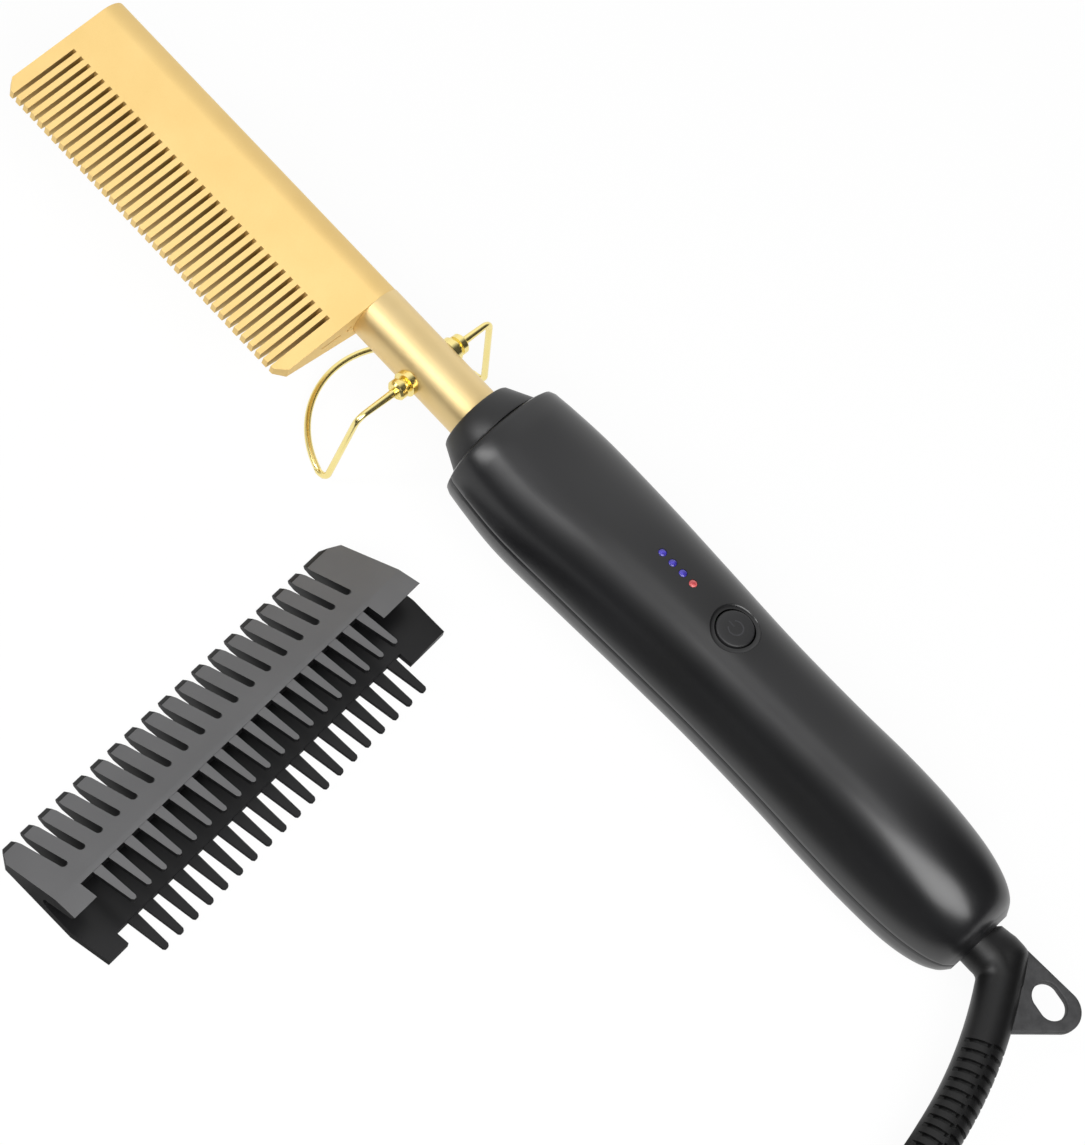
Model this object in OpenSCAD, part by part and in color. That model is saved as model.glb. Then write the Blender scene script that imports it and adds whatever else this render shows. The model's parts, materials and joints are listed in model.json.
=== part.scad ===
// Electric hot comb with a fold-away wire stand and a loose clip-on comb.
// The tool is drawn lying along X with its tube axis at z = 0 and then laid on the table, z = 0.

/* [Comb blade] */
// Length of the gold comb blade
blade_len = 94; // [75:1:120]
// Radius of the blade's round spine
spine_r = 6.6; // [6.3:0.1:8]
// Distance from the tube axis to the tips of the teeth
tip_reach = 29.9; // [26:0.1:36]
// Thickness of the blade at the tips of the teeth
tip_t = 2.3; // [1.6:0.1:3.5]
// Number of slots between the teeth
slot_count = 36; // [20:1:44]
// Width of one slot
slot_w = 1; // [0.6:0.05:1.4]
// Length of a slot, measured from the tips
slot_len = 17.5; // [12:0.5:20]
// Width of the tooth at each end of the blade
end_tooth_w = 3.4; // [2.5:0.1:6]
// Chamfer on the outer corner of the end teeth
tip_chamfer = 2.4; // [1:0.1:2.5]

/* [Neck tube] */
// Outer radius of the neck tube
tube_r = 6.75; // [6.3:0.05:7.5]
// Inner radius of the neck tube
tube_inner_r = 4.3; // [3.9:0.1:4.6]
// Length of neck tube between the blade and the collar
neck_len = 33.7; // [28:0.1:45]
// Radius of the spigot that goes into the blade
spigot_r = 5.4; // [5:0.05:5.6]
// Length of the spigot
spigot_len = 14; // [10:0.5:20]

/* [Wire stand] */
// Distance from the blade to the stand's pivot
stand_x = 18; // [15:0.5:22]
// Radius of the stand's wire
wire_r = 0.8; // [0.7:0.05:0.95]
// Half the distance between the tops of the stand's legs
stand_half_w = 21.2; // [20.6:0.1:23]
// Height of the pivot over the foot
stand_drop = 26.4; // [24:0.2:28]
// How far each leg spreads outward towards the foot
stand_flare = 2.9; // [2:0.1:5]
// How far the bowed foot reaches forward of the legs
bow_reach = 22.4; // [19:0.2:24]
// Lean of the legs towards the handle, from pivot to foot
stand_lean = 2.3; // [0:0.1:4]
// Length of a pivot boss
boss_len = 4.8; // [4.4:0.1:6]
// Radius of a pivot boss
boss_r = 2.5; // [2.3:0.05:2.8]

/* [Handle] */
// Length of the handle shells
handle_len = 154.5; // [146:0.5:170]
// Thickness of the shell walls
wall = 2; // [1.6:0.1:2.4]
// Half width of the handle behind the collar
front_half_w = 16.3; // [15.6:0.1:18]
// Half width at the front swell
swell_half_w = 17.6; // [16:0.1:19]
// Half width at the waist
waist_half_w = 14.9; // [14:0.1:16.5]
// Half width at the rear grip
grip_half_w = 15.2; // [14.2:0.1:17]
// Height of the top over the tube axis, at the button
top_h = 18.2; // [17.4:0.1:20]
// Height of the top over the tube axis, at the rear grip
grip_top_h = 20; // [18.6:0.1:22]
// Depth of the underside at the front swell
swell_depth = 16.2; // [15:0.1:17.4]
// Depth of the underside at the rear grip
grip_depth = 14; // [13.4:0.1:15.6]
// Exponent of the cross-section, 2 for an ellipse and more for squarer
squareness = 2.3; // [2:0.1:2.6]
// Large radius of the front collar
collar_r = 12.65; // [11.8:0.05:13]
// Small radius of the front collar
collar_small_r = 9.7; // [8.6:0.1:11]
// Visible length of the front collar
collar_len = 7.3; // [5:0.1:10]

/* [Button and lights] */
// Distance from the front of the handle to the button
button_from_front = 69.7; // [66:0.1:74]
// Radius of the button cap
button_r = 5; // [4.4:0.1:5.4]
// Travel of the button
button_travel = 0.7; // [0.4:0.1:0.9]
// Radius of the shallow dish round the button
dish_r = 6.7; // [6.2:0.1:7.2]
// Radius of an indicator lens
lens_r = 0.95; // [0.7:0.05:1.2]
// Distance between indicator lenses
lens_pitch = 3.2; // [2.8:0.1:3.6]
// Distance from the button back to the first lens
lens_from_button = 13.7; // [12.5:0.1:14.4]

/* [Cord and strain relief] */
// Radius of the strain relief at the handle
relief_r = 5.5; // [5.2:0.1:5.9]
// Radius of the strain relief's last rib
relief_end_r = 4.3; // [3.9:0.1:4.8]
// Distance from the handle's end to the elbow's corner
elbow_out = 7.3; // [6.5:0.1:10]
// Angle that the elbow turns through
elbow_angle = 58; // [45:1:65]
// Angle that the ribbed sleeve curves through
sleeve_angle = 30; // [24:1:32]
// Radius of the ribbed sleeve's curve
sleeve_curve_r = 105; // [95:1:115]
// Turn of the elbow below the level, about the handle's axis
elbow_down = 5; // [4:0.5:6]
// Number of ribs on the sleeve
rib_count = 15; // [10:1:17]
// Diameter of the cord
cord_d = 5.9; // [5.6:0.1:6]

/* [Clip-on comb] */
// Length of the clip-on comb
clip_len = 110; // [102:0.2:120]
// Width of its plate, from the tips of the chunky teeth to the fold
plate_w = 18; // [16:0.5:20]
// Height of the fold over the flat underside
fold_h = 9.2; // [8.6:0.1:10.5]
// Length of the upper jaw past the fold
jaw_len = 5.8; // [4:0.1:6.5]
// Width of the underside, from the chunky teeth to the lower jaw's edge
base_w = 33.8; // [31:0.1:36]
// Number of slots between the chunky teeth
chunky_slots = 18; // [14:1:20]
// Width of a slot between the chunky teeth
chunky_slot_w = 1.8; // [1.2:0.1:2.2]
// Length of a slot between the chunky teeth
chunky_slot_len = 12.9; // [10:0.1:13.2]
// Number of thin teeth in each jaw
thin_count = 19; // [14:1:21]
// Length of the thin teeth on the upper jaw
upper_tooth_len = 10.9; // [7:0.1:12]
// Length of the thin teeth on the lower jaw
lower_tooth_len = 9.9; // [7:0.1:11]

/* [Hidden] */
$fn = 48;

// Clearances between pieces
slide_gap = 0.05;
seat_gap = 0.1;
turn_gap = 0.15;
press_gap = 0.3;
cut = 1;

function unit(v) = v/norm(v);
function across(t, s) = unit(s - (s*t)*t);

// Blade
heater_r = 4.5;
blade_end_wall = 6;
pitch = (blade_len - 2*end_tooth_w - slot_w)/(slot_count - 1);
slot_root_y = -tip_reach + slot_len;
wedge_angle = asin((spine_r - tip_t/2)/tip_reach);
end_slit = [2, 6, 0.6];
end_slit_y = -17;
sensor_r = 0.8;
sensor_y = -8.2;
sensor_len = 9;
set_screw_r = 1.3;
set_screw_x = -spigot_len/2;
set_screw_bite = 0.6;
boss_start = tube_r - 0.6;
pin_start = boss_start + 1.6;

// Handle stations along the tool: x, half width, height of the top and depth of the underside
front_x = neck_len + collar_len;
rear_x = front_x + handle_len;
edge_round = 1.6;
end_half_w = 8.2;
end_depth = 7;
stations = [
    [front_x, front_half_w - edge_round, 14.5 - edge_round, 14.1 - edge_round],
    [front_x + 0.5, front_half_w - 0.5, 14, 13.6],
    [front_x + 1.8, front_half_w, 14.6, 14.2],
    [front_x + 6, front_half_w + 0.5, 14.9, 14.8],
    [front_x + 19, swell_half_w, 15.6, swell_depth],
    [front_x + 39, swell_half_w - 0.8, top_h - 0.7, swell_depth - 1],
    [front_x + 59, waist_half_w + 0.9, top_h, grip_depth + 0.3],
    [front_x + 79, waist_half_w + 0.1, top_h + 0.1, grip_depth - 0.1],
    [rear_x - 55, waist_half_w, grip_top_h - 0.9, grip_depth - 0.1],
    [rear_x - 40, grip_half_w, grip_top_h, grip_depth],
    [rear_x - 27, grip_half_w - 0.1, grip_top_h - 0.2, grip_depth + 0.1],
    [rear_x - 15, grip_half_w - 0.9, grip_top_h - 1.7, grip_depth],
    [rear_x - 7, grip_half_w - 2.5, grip_top_h - 4, grip_depth - 1.5],
    [rear_x - 2.2, 10.6, 12.8, 9.7],
    [rear_x, end_half_w, end_half_w, end_depth]];
half_steps = 12;
inner_rear_x = rear_x - 9.5;
handle_rows = smooth_rows(stations, 3);
inner_rows = [for (s = handle_rows) if (s[0] > front_x + 3 && s[0] < inner_rear_x + 0.1) s];

// Inside the handle
clamp_x = front_x + 13;
clamp_len = 8;
clamp_r = 11;
rib_t = 3;
collar_flange_r = 13.5;
collar_spigot_r = 12.2;
tube_rear_x = clamp_x + clamp_len + 1.5;
board_x = tube_rear_x + 3;
screw_boss_r = 2.6;
rear_screw_back = 44;
board_end_gap = 2.4;
board_len = rear_x - rear_screw_back - screw_boss_r - board_end_gap - board_x;
board_w = 19;
board_t = 1.6;
board_z = 2.2;
board_top = board_z + board_t;
post_r = 2.4;
post_x = [board_x + 5, board_x + board_len - 5];
post_y = 6.6;
board_screw_r = 0.8;
board_screw_head_r = 1.9;
board_screw_head_h = 1.2;
board_screw_bite = 5;
board_hole_r = 1.2;
heater_lead_r = 0.65;
heater_lead_y = 1.7;
supply_lead_r = 0.65;
supply_lead_y = 3;
brush_lead_y = 0.7;
button_x = front_x + button_from_front;
dish_depth = 0.9;
button_flange_r = button_r + 1.1;
button_flange_t = 1.2;
flange_top = top_h - wall - 2;
switch_h = 3.6;
switch_w = 6;
plunger_h = 0.8;
lens_x = [for (i = [0:3]) button_x - lens_from_button - (3 - i)*lens_pitch + 0.2];
screw_x = [clamp_x + 3.6, rear_x - rear_screw_back];
screw_y = [12.2, 9.2];
screw_r = 1.2;
screw_head_r = 2.1;
screw_head_h = 1.8;
screw_head_z = [-9, -8];
screw_len = 14;

// Swivel
socket_x = inner_rear_x - 17.5;
socket_len = 17.4;
socket_r = 10.4;
barrel_r = 8;
barrel_len = 14.6;
barrel_neck_r = 4.2;
ring_w = 2.4;
ring_x = [socket_x + 4, socket_x + 9];
brush_r = 1.1;
brush_top = 12;

// Strain relief, drawn in a plane through the handle's axis: x along the axis, then distance off it
relief_start = inner_rear_x + 1.2;
elbow_x = rear_x + elbow_out;
elbow_r = 7;
tab_t = 2.2;
tab_slot = [[rear_x + 18.4, -2.6], [rear_x + 20.9, -2.2]];
tab_slot_r = 3.25;
tab_end = [rear_x + 22.5, -2.7];
tab_end_r = 5.1;
tab_root = [rear_x + 1.4, -6.2];
tab_root_r = 0.8;
tab_low = [rear_x + 17.2, 9.2];
tab_low_r = 1;
sleeve_len = sleeve_curve_r*sleeve_angle*PI/180;
arc_tangent = sleeve_curve_r*tan(sleeve_angle/2);
elbow_tangent = elbow_r*tan(elbow_angle/2);
relief_dir = [cos(elbow_angle), sin(elbow_angle)];
end_dir = [cos(elbow_angle + sleeve_angle), sin(elbow_angle + sleeve_angle)];
arc_start = [elbow_x, 0] + (elbow_tangent + 1)*relief_dir;
arc_corner = arc_start + arc_tangent*relief_dir;
relief_end = arc_corner + arc_tangent*end_dir;
smooth_len = 15;
cord_socket = 6;
rib_pitch = (sleeve_len - smooth_len)/rib_count;
rib_w = rib_pitch*0.7;
rib_slope = 0.15;
rib_depth = 0.9;
taper_len = 18;

// The rest pose: the stand's foot and the handle's belly both touch the table
stand_twist = 2.1;
stand_shift = 1.3;
rest_guess = 0.079;
top_bend = 2.6;
foot_bend = 3.2;
stand_tops = [for (s = [-1, 1]) [0, s*stand_half_w - stand_shift, 0]];
stand_feet = [for (s = [-1, 1]) [stand_lean + s*stand_twist, s*(stand_half_w + stand_flare) - stand_shift,
    -stand_drop - (stand_lean + s*stand_twist)*-rest_guess]];
stand_pts = concat([[0, -pin_start, 0], stand_tops[0]], bow(stand_feet[0], stand_feet[1], bow_reach, [-1, 0, 0], 16),
    [stand_tops[1], [0, pin_start, 0]]);
stand_bends = concat([top_bend, foot_bend], [for (k = [1:15]) 0], [foot_bend, top_bend]);
foot_x = stand_x + stand_feet[1][0] - foot_bend;
foot_z = stand_feet[1][2];
rest_slope = min([for (s = handle_rows) if (s[0] > front_x + 0.58*handle_len) (wire_r - s[3] - foot_z)/(s[0] - foot_x)]);
tilt = atan(rest_slope);

// Middle of the tool and the clip-on comb on the table, taken from the tool's own frame
base_mid = [65.1, -60.78];

// Where the clip-on comb lies: its near corner on the table and its turn
clip_at = [39.5, -145];
clip_turn = 95.8;

// Cord, coil and plug on the table
cord_r = cord_d/2;
coil_mid = [270, -101];
coil_turns = 7.5;
coil_pitch = cord_d + 0.5;
coil_inner_r = 22.8;
coil_lift = 0.8;
coil_steps = 24;
tie_t = 0.6;
tie_w = 8;
plug_mid = [coil_mid[0] + coil_inner_r + coil_pitch*coil_turns/2, -46];
plug_h = 13.6;
plug_len = 34;
plug_w = 35;
pin_r = 2;
pin_len = 19;
pin_root = 8;
pin_root_r = 1.6;
pin_half_gap = 9.3;
coil_top_z = coil_lift + cord_r + coil_pitch;

// Clip-on comb section, along w from the chunky tips and v up from the table
jaw_t = 1.6;
channel_wall = 1.4;
apex = [chunky_slot_len + chunky_slot_w/2 + channel_wall, 2.1];
apex_gap = 2.7;
base_t = 1.8;
near_lobe_w = 4.6;
far_lobe_w = 11.4;
lower_tooth_t = 1;
lower_edge_w = base_w - 3.5;
upper_edge_w = plate_w + 1.2;
slot_margin = [6.5, 10.65];
tooth_margin = [5.1, 3];
mouth_len = 2.4;
mouth_flare = 0.45;
end_reach = 3;

// Outline of the comb's two ends from above: place along w, and how far the end reaches past the comb's length there
near_end = [[-cut, -3.2], [3.5, 0.3], [plate_w + jaw_len, 2.2], [base_w + cut, 1.2]];
far_end = [[-cut, -5.3], [2.9, 0.1], [plate_w + jaw_len, 1.2], [base_w + cut, 0]];

function row(i, list) = list[min(max(i, 0), len(list) - 1)];
function blend_row(a, b, c, d, t) = 0.5*((2*b) + (c - a)*t + (2*a - 5*b + 4*c - d)*t*t + (3*b - a - 3*c + d)*t*t*t);
function smooth_rows(list, from) = [for (i = [0:len(list) - 1], t = i < from || i == len(list) - 1 ? [0] : [0, 0.5])
    blend_row(row(i - 1, list), row(i, list), row(i + 1, list), row(i + 2, list), t)];
function power(v, e) = sign(v)*pow(abs(v), e);

// Half of a cross-section, from its right side over to its left side; side is 1 for the top and -1 for the underside
function half_ring(s, side, inset) = [for (k = [0:half_steps])
    [s[0], (s[1] - inset)*power(cos(180*k/half_steps), 2/squareness),
        side*(s[side > 0 ? 2 : 3] - inset)*power(sin(180*k/half_steps), 2/squareness)]];

function top_at(x) = lookup(x, [for (s = handle_rows) [s[0], s[2]]]);

module loft_half(rows, side, inset) {
    n = half_steps + 1;
    last = len(rows) - 1;
    points = [for (s = rows) each half_ring(s, side, inset)];
    walls = [for (i = [0:last - 1], k = [0:n - 1]) each [
        [i*n + k, (i + 1)*n + k, (i + 1)*n + (k + 1)%n],
        [i*n + k, (i + 1)*n + (k + 1)%n, i*n + (k + 1)%n]]];
    caps = [for (k = [1:n - 2]) each [[0, k, k + 1], [last*n, last*n + k + 1, last*n + k]]];
    faces = concat(walls, caps);
    polyhedron(points, side > 0 ? faces : [for (f = faces) [f[2], f[1], f[0]]]);
}

// Places a piece of the tool on the table
module tool() {
    translate([-base_mid[0], -base_mid[1], 0])
        multmatrix([[cos(tilt), 0, sin(tilt), 0], [0, 1, 0, 0], [-sin(tilt), 0, cos(tilt), table_lift()], [0, 0, 0, 1]])
            children();
}
function table_lift() = foot_x*sin(tilt) - foot_z*cos(tilt) + wire_r + 0.02;
function tool_point(p) = [p[0]*cos(tilt) + p[2]*sin(tilt) - base_mid[0], p[1] - base_mid[1],
    -p[0]*sin(tilt) + p[2]*cos(tilt) + table_lift()];
function table_point(p, z) = [p[0] - base_mid[0], p[1] - base_mid[1], z];

module along_x() { rotate([90, 0, 90]) children(); }
module x_rod(x0, x1, r) { translate([x0, 0, 0]) rotate([0, 90, 0]) cylinder(r = r, h = x1 - x0); }

// Points along a circular bow from a to b that reaches out sideways
function bow(a, b, reach, dir, n) = let (mid = (a + b)/2, e = unit(b - a), h = norm(b - a)/2, d = across(e, dir),
    r = (h*h + reach*reach)/(2*reach), half = 2*atan(reach/h))
    [for (k = [0:n]) let (t = (2*k/n - 1)*half) mid + r*(cos(t) - cos(half))*d + r*sin(t)*e];

// Points along a route whose corners are bent to the given radii, one every few degrees
function bent(pts, bends, step) = [pts[0], for (i = [1:len(pts) - 2]) each bends[i - 1] == 0 ? [pts[i]] :
    let (a = unit(pts[i] - pts[i - 1]), b = unit(pts[i + 1] - pts[i]), turn = acos(a*b), r = bends[i - 1],
        mid = pts[i] + unit(b - a)*r/cos(turn/2), e1 = unit(pts[i] - a*r*tan(turn/2) - mid), n = ceil(turn/step))
    [for (k = [0:n]) mid + r*(cos(turn*k/n)*e1 + sin(turn*k/n)*a)], pts[len(pts) - 1]];

function heading(pts, i) = let (last = len(pts) - 1)
    unit((i < last ? unit(pts[i + 1] - pts[i]) : [0, 0, 0]) + (i > 0 ? unit(pts[i] - pts[i - 1]) : [0, 0, 0]));

// A tube swept along points with one radius or one for each point, and flat ends; each ring's first side is carried on from the ring before
module tube_sweep(pts, r, sides) {
    last = len(pts) - 1;
    first = across(heading(pts, 0), abs(heading(pts, 0)[2]) < 0.9 ? [0, 0, 1] : [1, 0, 0]);
    side = [for (i = 0, s = first; i <= last; i = i + 1, s = i <= last ? across(heading(pts, i), s) : s) s];
    rings = [for (i = [0:last], k = [0:sides - 1])
        pts[i] + (is_list(r) ? r[i] : r)*(cos(360*k/sides)*side[i] + sin(360*k/sides)*cross(heading(pts, i), side[i]))];
    walls = [for (i = [0:last - 1], k = [0:sides - 1]) each [
        [i*sides + k, (i + 1)*sides + k, (i + 1)*sides + (k + 1)%sides],
        [i*sides + k, (i + 1)*sides + (k + 1)%sides, i*sides + (k + 1)%sides]]];
    caps = [for (k = [1:sides - 2]) each [[0, k, k + 1], [last*sides, last*sides + k + 1, last*sides + k]]];
    polyhedron(rings, concat(walls, caps));
}

function spline(pts, steps) = [for (i = [0:len(pts) - 2], t = [0:steps - 1])
    blend_row(row(i - 1, pts), row(i, pts), row(i + 1, pts), row(i + 2, pts), t/steps), ];

// The coil winds in on the table, climbs one layer where it turns back, and winds out again
function coil_radius(turn) = coil_inner_r + coil_pitch*abs(turn - coil_turns/2);
function coil_rise(turn) = coil_pitch*min(max((turn - coil_turns/2 + 0.25)/0.5, 0), 1);
function coil_point(turn) = let (a = 180 + 360*turn) [coil_mid[0] - base_mid[0] + coil_radius(turn)*cos(a),
    coil_mid[1] - base_mid[1] + coil_radius(turn)*sin(a), coil_lift + cord_r + coil_rise(turn)];
coil_turn_points = [for (i = [0:coil_turns*coil_steps]) coil_point(i/coil_steps)];
coil_start = coil_turn_points[0] + [0, cord_d, 0];
coil_end = coil_turn_points[len(coil_turn_points) - 1] + [0, cord_d, 0];
coil_points = concat([coil_start], coil_turn_points, [coil_end]);
coil_gap = min([for (i = [0:len(coil_turn_points) - 1], j = [i + coil_steps/2:len(coil_turn_points) - 1])
    norm(coil_turn_points[i] - coil_turn_points[j])]) - cord_d;
echo(coil_gap = coil_gap);

relief_out = [relief_end[0], -relief_end[1]*cos(elbow_down), -relief_end[1]*sin(elbow_down)];
relief_out_dir = [end_dir[0], -end_dir[1]*cos(elbow_down), -end_dir[1]*sin(elbow_down)];
cord_exit = tool_point(relief_out - cord_socket*relief_out_dir);
cord_dir = unit(tool_point(relief_out) - cord_exit);
lead_route = [cord_exit, cord_exit + cord_dir*cord_socket, cord_exit + cord_dir*(cord_socket + 14),
    coil_start + [0, 12, 0], coil_start + [0, 6, 0], coil_start + [0, 3, 0], coil_start];
plug_boot_end = table_point([plug_mid[0], plug_mid[1] - 12], plug_h/2);
tail_route = [coil_end, coil_end + [0, 3, 0], coil_end + [0, 6, 0], plug_boot_end - [0, 12, 0],
    plug_boot_end - [0, 7, 0], plug_boot_end];

module comb_section() {
    tangent = [-spine_r*sin(wedge_angle), spine_r*cos(wedge_angle)];
    circle(spine_r);
    polygon([[tangent[0], tangent[1]], [-tip_reach, tip_t/2], [-tip_reach, -tip_t/2], [tangent[0], -tangent[1]]]);
}

module comb_blade() {
    color("#d9b25f") tool() difference() {
        translate([-blade_len, 0, 0]) along_x() linear_extrude(blade_len) comb_section();
        for (i = [0:slot_count - 1])
            translate([-blade_len + end_tooth_w + i*pitch, -tip_reach - cut, -spine_r])
                cube([slot_w, slot_len + cut, 2*spine_r]);
        for (x = [-blade_len, 0])
            translate([x, -tip_reach, 0]) rotate([0, 0, 45])
                cube([tip_chamfer*sqrt(2), tip_chamfer*sqrt(2), 2*spine_r], center = true);
        x_rod(-blade_len + blade_end_wall, cut, heater_r + seat_gap);
        x_rod(-spigot_len - seat_gap, cut, spigot_r + slide_gap);
        translate([0, sensor_y, 0]) x_rod(-sensor_len - seat_gap, cut, sensor_r + slide_gap);
        translate([-end_slit[0], end_slit_y, -end_slit[2]/2]) cube(end_slit + [cut, 0, 0]);
        translate([set_screw_x, 0, -spine_r - cut]) cylinder(r = set_screw_r + slide_gap, h = spine_r);
    }
}

module neck_tube() {
    color("#d9b878") tool() difference() {
        union() {
            x_rod(slide_gap, tube_rear_x, tube_r);
            x_rod(-spigot_len, cut, spigot_r);
        }
        x_rod(-spigot_len - cut, tube_rear_x + cut, tube_inner_r);
        translate([set_screw_x, 0, -spigot_r - cut]) cylinder(r = set_screw_r + slide_gap, h = set_screw_bite + cut);
    }
}

module neck_set_screw() {
    top = -spigot_r + set_screw_bite - slide_gap;
    color("#8a8a86") tool() translate([set_screw_x, 0, -spine_r + 0.2]) difference() {
        cylinder(r = set_screw_r, h = top + spine_r - 0.2);
        translate([0, 0, -cut]) cylinder(r = 0.7, h = cut + 0.5, $fn = 6);
    }
}

module heater_rod() {
    color("#e9e4da") tool() x_rod(-blade_len + blade_end_wall + seat_gap, -spigot_len - 2, heater_r);
}

module heater_leads() {
    color("#b5302a") tool() for (s = [-1, 1])
        translate([0, s*heater_lead_y, board_z + board_t/2]) x_rod(-spigot_len - 2, board_x, heater_lead_r);
}

module temperature_sensor() {
    color("#3a2a1c") tool() translate([0, sensor_y, 0]) x_rod(-sensor_len, -0.6, sensor_r);
}

// A turned boss: washer against the tube, waist and collar, with the wire's bore in its outer end
module stand_bosses() {
    h = boss_len;
    color("#d8b45c") tool() translate([stand_x, 0, 0]) for (s = [-1, 1]) rotate([-90*s, 0, 0]) difference() {
        translate([0, 0, boss_start]) rotate_extrude()
            polygon([[0, 0], [boss_r + 0.6, 0], [boss_r + 0.6, 1.7], [boss_r - 0.6, 2], [boss_r - 0.6, 2.7],
                [boss_r, 3], [boss_r, h - 0.5], [boss_r - 0.5, h], [0, h]]);
        rotate([90*s, 0, 0]) x_rod(-6, 6, tube_r + slide_gap/2);
        translate([0, 0, pin_start - 0.2]) cylinder(r = wire_r + slide_gap, h = h);
    }
}

module stand_wire() {
    color("#e2bd62") tool() translate([stand_x, 0, 0]) tube_sweep(bent(stand_pts, stand_bends, 11), wire_r, 12);
}

module front_collar() {
    color("#242425") tool() difference() {
        along_x() rotate_extrude() polygon([
            [0, neck_len], [collar_small_r - 0.8, neck_len], [collar_small_r, neck_len + 0.8],
            [collar_r, front_x - 0.3], [collar_spigot_r, front_x - 0.3],
            [collar_spigot_r, front_x + wall + 0.4], [collar_flange_r, front_x + wall + 0.4],
            [collar_flange_r, front_x + wall + 2.4], [collar_spigot_r, front_x + wall + 2.4],
            [collar_spigot_r, clamp_x - 1.5], [0, clamp_x - 1.5]]);
        x_rod(0, clamp_x, tube_r + slide_gap);
    }
}

module tube_clamp() {
    color("#c9c3b2") tool() difference() {
        x_rod(clamp_x, clamp_x + clamp_len, clamp_r);
        x_rod(clamp_x - cut, clamp_x + clamp_len + cut, tube_r + slide_gap);
        translate([clamp_x - cut, -0.5, 0]) cube([clamp_len + 2*cut, 1, clamp_r + cut]);
    }
}

// Half of the handle with a cavity that leaves its children standing as ribs and bosses
module shell_half(side) {
    difference() {
        loft_half(handle_rows, side, 0);
        difference() {
            loft_half(inner_rows, side, wall);
            children();
        }
        x_rod(front_x - cut, inner_rows[0][0] + cut, collar_spigot_r + slide_gap);
        x_rod(front_x + wall + 0.3, front_x + wall + 2.5, collar_flange_r + slide_gap);
        x_rod(clamp_x - cut, clamp_x + clamp_len + cut, clamp_r + slide_gap);
        x_rod(socket_x - cut, inner_rear_x, socket_r + slide_gap);
        x_rod(inner_rear_x - cut, rear_x + cut, relief_r + turn_gap);
    }
}

module cross_rib(x) { translate([x, -30, -30]) cube([rib_t, 60, 60]); }

module screw_places() {
    for (i = [0, 1], s = [-1, 1]) translate([screw_x[i], s*screw_y[i], screw_head_z[i]]) children();
}

module upper_shell() {
    color("#2b2b2d") tool() difference() {
        shell_half(1) {
            cross_rib(clamp_x + 2);
            cross_rib(socket_x + 12);
            screw_places() cylinder(r = screw_boss_r, h = 40);
            translate([button_x, 0, flange_top + seat_gap]) cylinder(r = button_flange_r, h = 20);
        }
        translate([button_x, 0, board_top]) cylinder(r = button_r + turn_gap, h = 30);
        translate([button_x, 0, top_at(button_x) - dish_depth]) cylinder(r1 = dish_r - 0.4, r2 = dish_r + 0.5, h = 4);
        for (x = lens_x) translate([x, 0, board_top]) cylinder(r = lens_r + slide_gap, h = 30);
        screw_places() cylinder(r = screw_r + slide_gap, h = screw_len + 1);
    }
}

module lower_shell() {
    color("#2b2b2d") tool() difference() {
        union() {
            shell_half(-1) {
                cross_rib(clamp_x + 2);
                cross_rib(socket_x + 2);
                screw_places() translate([0, 0, -30]) cylinder(r = screw_boss_r, h = 40);
                for (x = post_x, s = [-1, 1]) translate([x, s*post_y, -30]) cylinder(r = post_r, h = 40);
            }
            for (x = post_x, s = [-1, 1]) translate([x, s*post_y, -cut]) cylinder(r = post_r, h = board_z + cut);
        }
        screw_places() {
            translate([0, 0, -cut]) cylinder(r = screw_r + slide_gap, h = screw_len);
            translate([0, 0, -30]) cylinder(r = screw_head_r + slide_gap, h = 30);
        }
        for (x = post_x, s = [-1, 1]) translate([x, s*post_y, board_z - board_screw_bite - cut])
            cylinder(r = board_screw_r + slide_gap, h = board_screw_bite + 2*cut);
    }
}

module shell_screws() {
    color("#55565a") tool() screw_places() difference() {
        union() {
            translate([0, 0, -screw_head_h]) cylinder(r = screw_head_r, h = screw_head_h);
            translate([0, 0, -cut]) cylinder(r = screw_r, h = screw_len + cut);
        }
        for (a = [0, 90]) rotate([0, 0, a]) translate([-1.3, -0.3, -screw_head_h - cut]) cube([2.6, 0.6, cut + 0.9]);
    }
}

// The cap is domed a little and has a flange inside the shell and a stem down to the switch
module power_button() {
    cap_top = top_at(button_x) - 0.2;
    stem_z = board_top + switch_h + plunger_h + seat_gap;
    flange_z = flange_top - button_flange_t;
    color("#1d1d1e") tool() translate([button_x, 0, 0]) difference() {
        rotate_extrude() polygon([[0, stem_z], [1.6, stem_z], [1.6, flange_z], [button_flange_r, flange_z],
            [button_flange_r, flange_top], [button_r, flange_top],
            [button_r, cap_top - 0.4], [button_r - 0.4, cap_top], [button_r*0.6, cap_top + 0.2], [0, cap_top + 0.25]]);
    }
}

module lens(x) {
    top = top_at(x);
    translate([x, 0, 0]) rotate_extrude() polygon([[0, board_top + 1.2], [lens_r, board_top + 1.2],
        [lens_r, top - 0.1], [lens_r*0.6, top + 0.2], [0, top + 0.3]]);
}

module blue_lenses() {
    color("#5b4fd0") tool() for (i = [0:2]) lens(lens_x[i]);
}

module red_lens() {
    color("#d5424b") tool() lens(lens_x[3]);
}

module circuit_board() {
    color("#1f5a34") tool() difference() {
        translate([board_x, -board_w/2, board_z]) cube([board_len, board_w, board_t]);
        for (x = post_x, s = [-1, 1]) translate([x, s*post_y, board_z - cut])
            cylinder(r = board_hole_r, h = board_t + 2*cut);
    }
}

module board_screws() {
    color("#8d8f92") tool() for (x = post_x, s = [-1, 1]) translate([x, s*post_y, 0]) {
        translate([0, 0, board_top]) cylinder(r = board_screw_head_r, h = board_screw_head_h);
        translate([0, 0, board_z - board_screw_bite])
            cylinder(r = board_screw_r, h = board_t + board_screw_bite + board_screw_head_h/2);
    }
}

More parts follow.
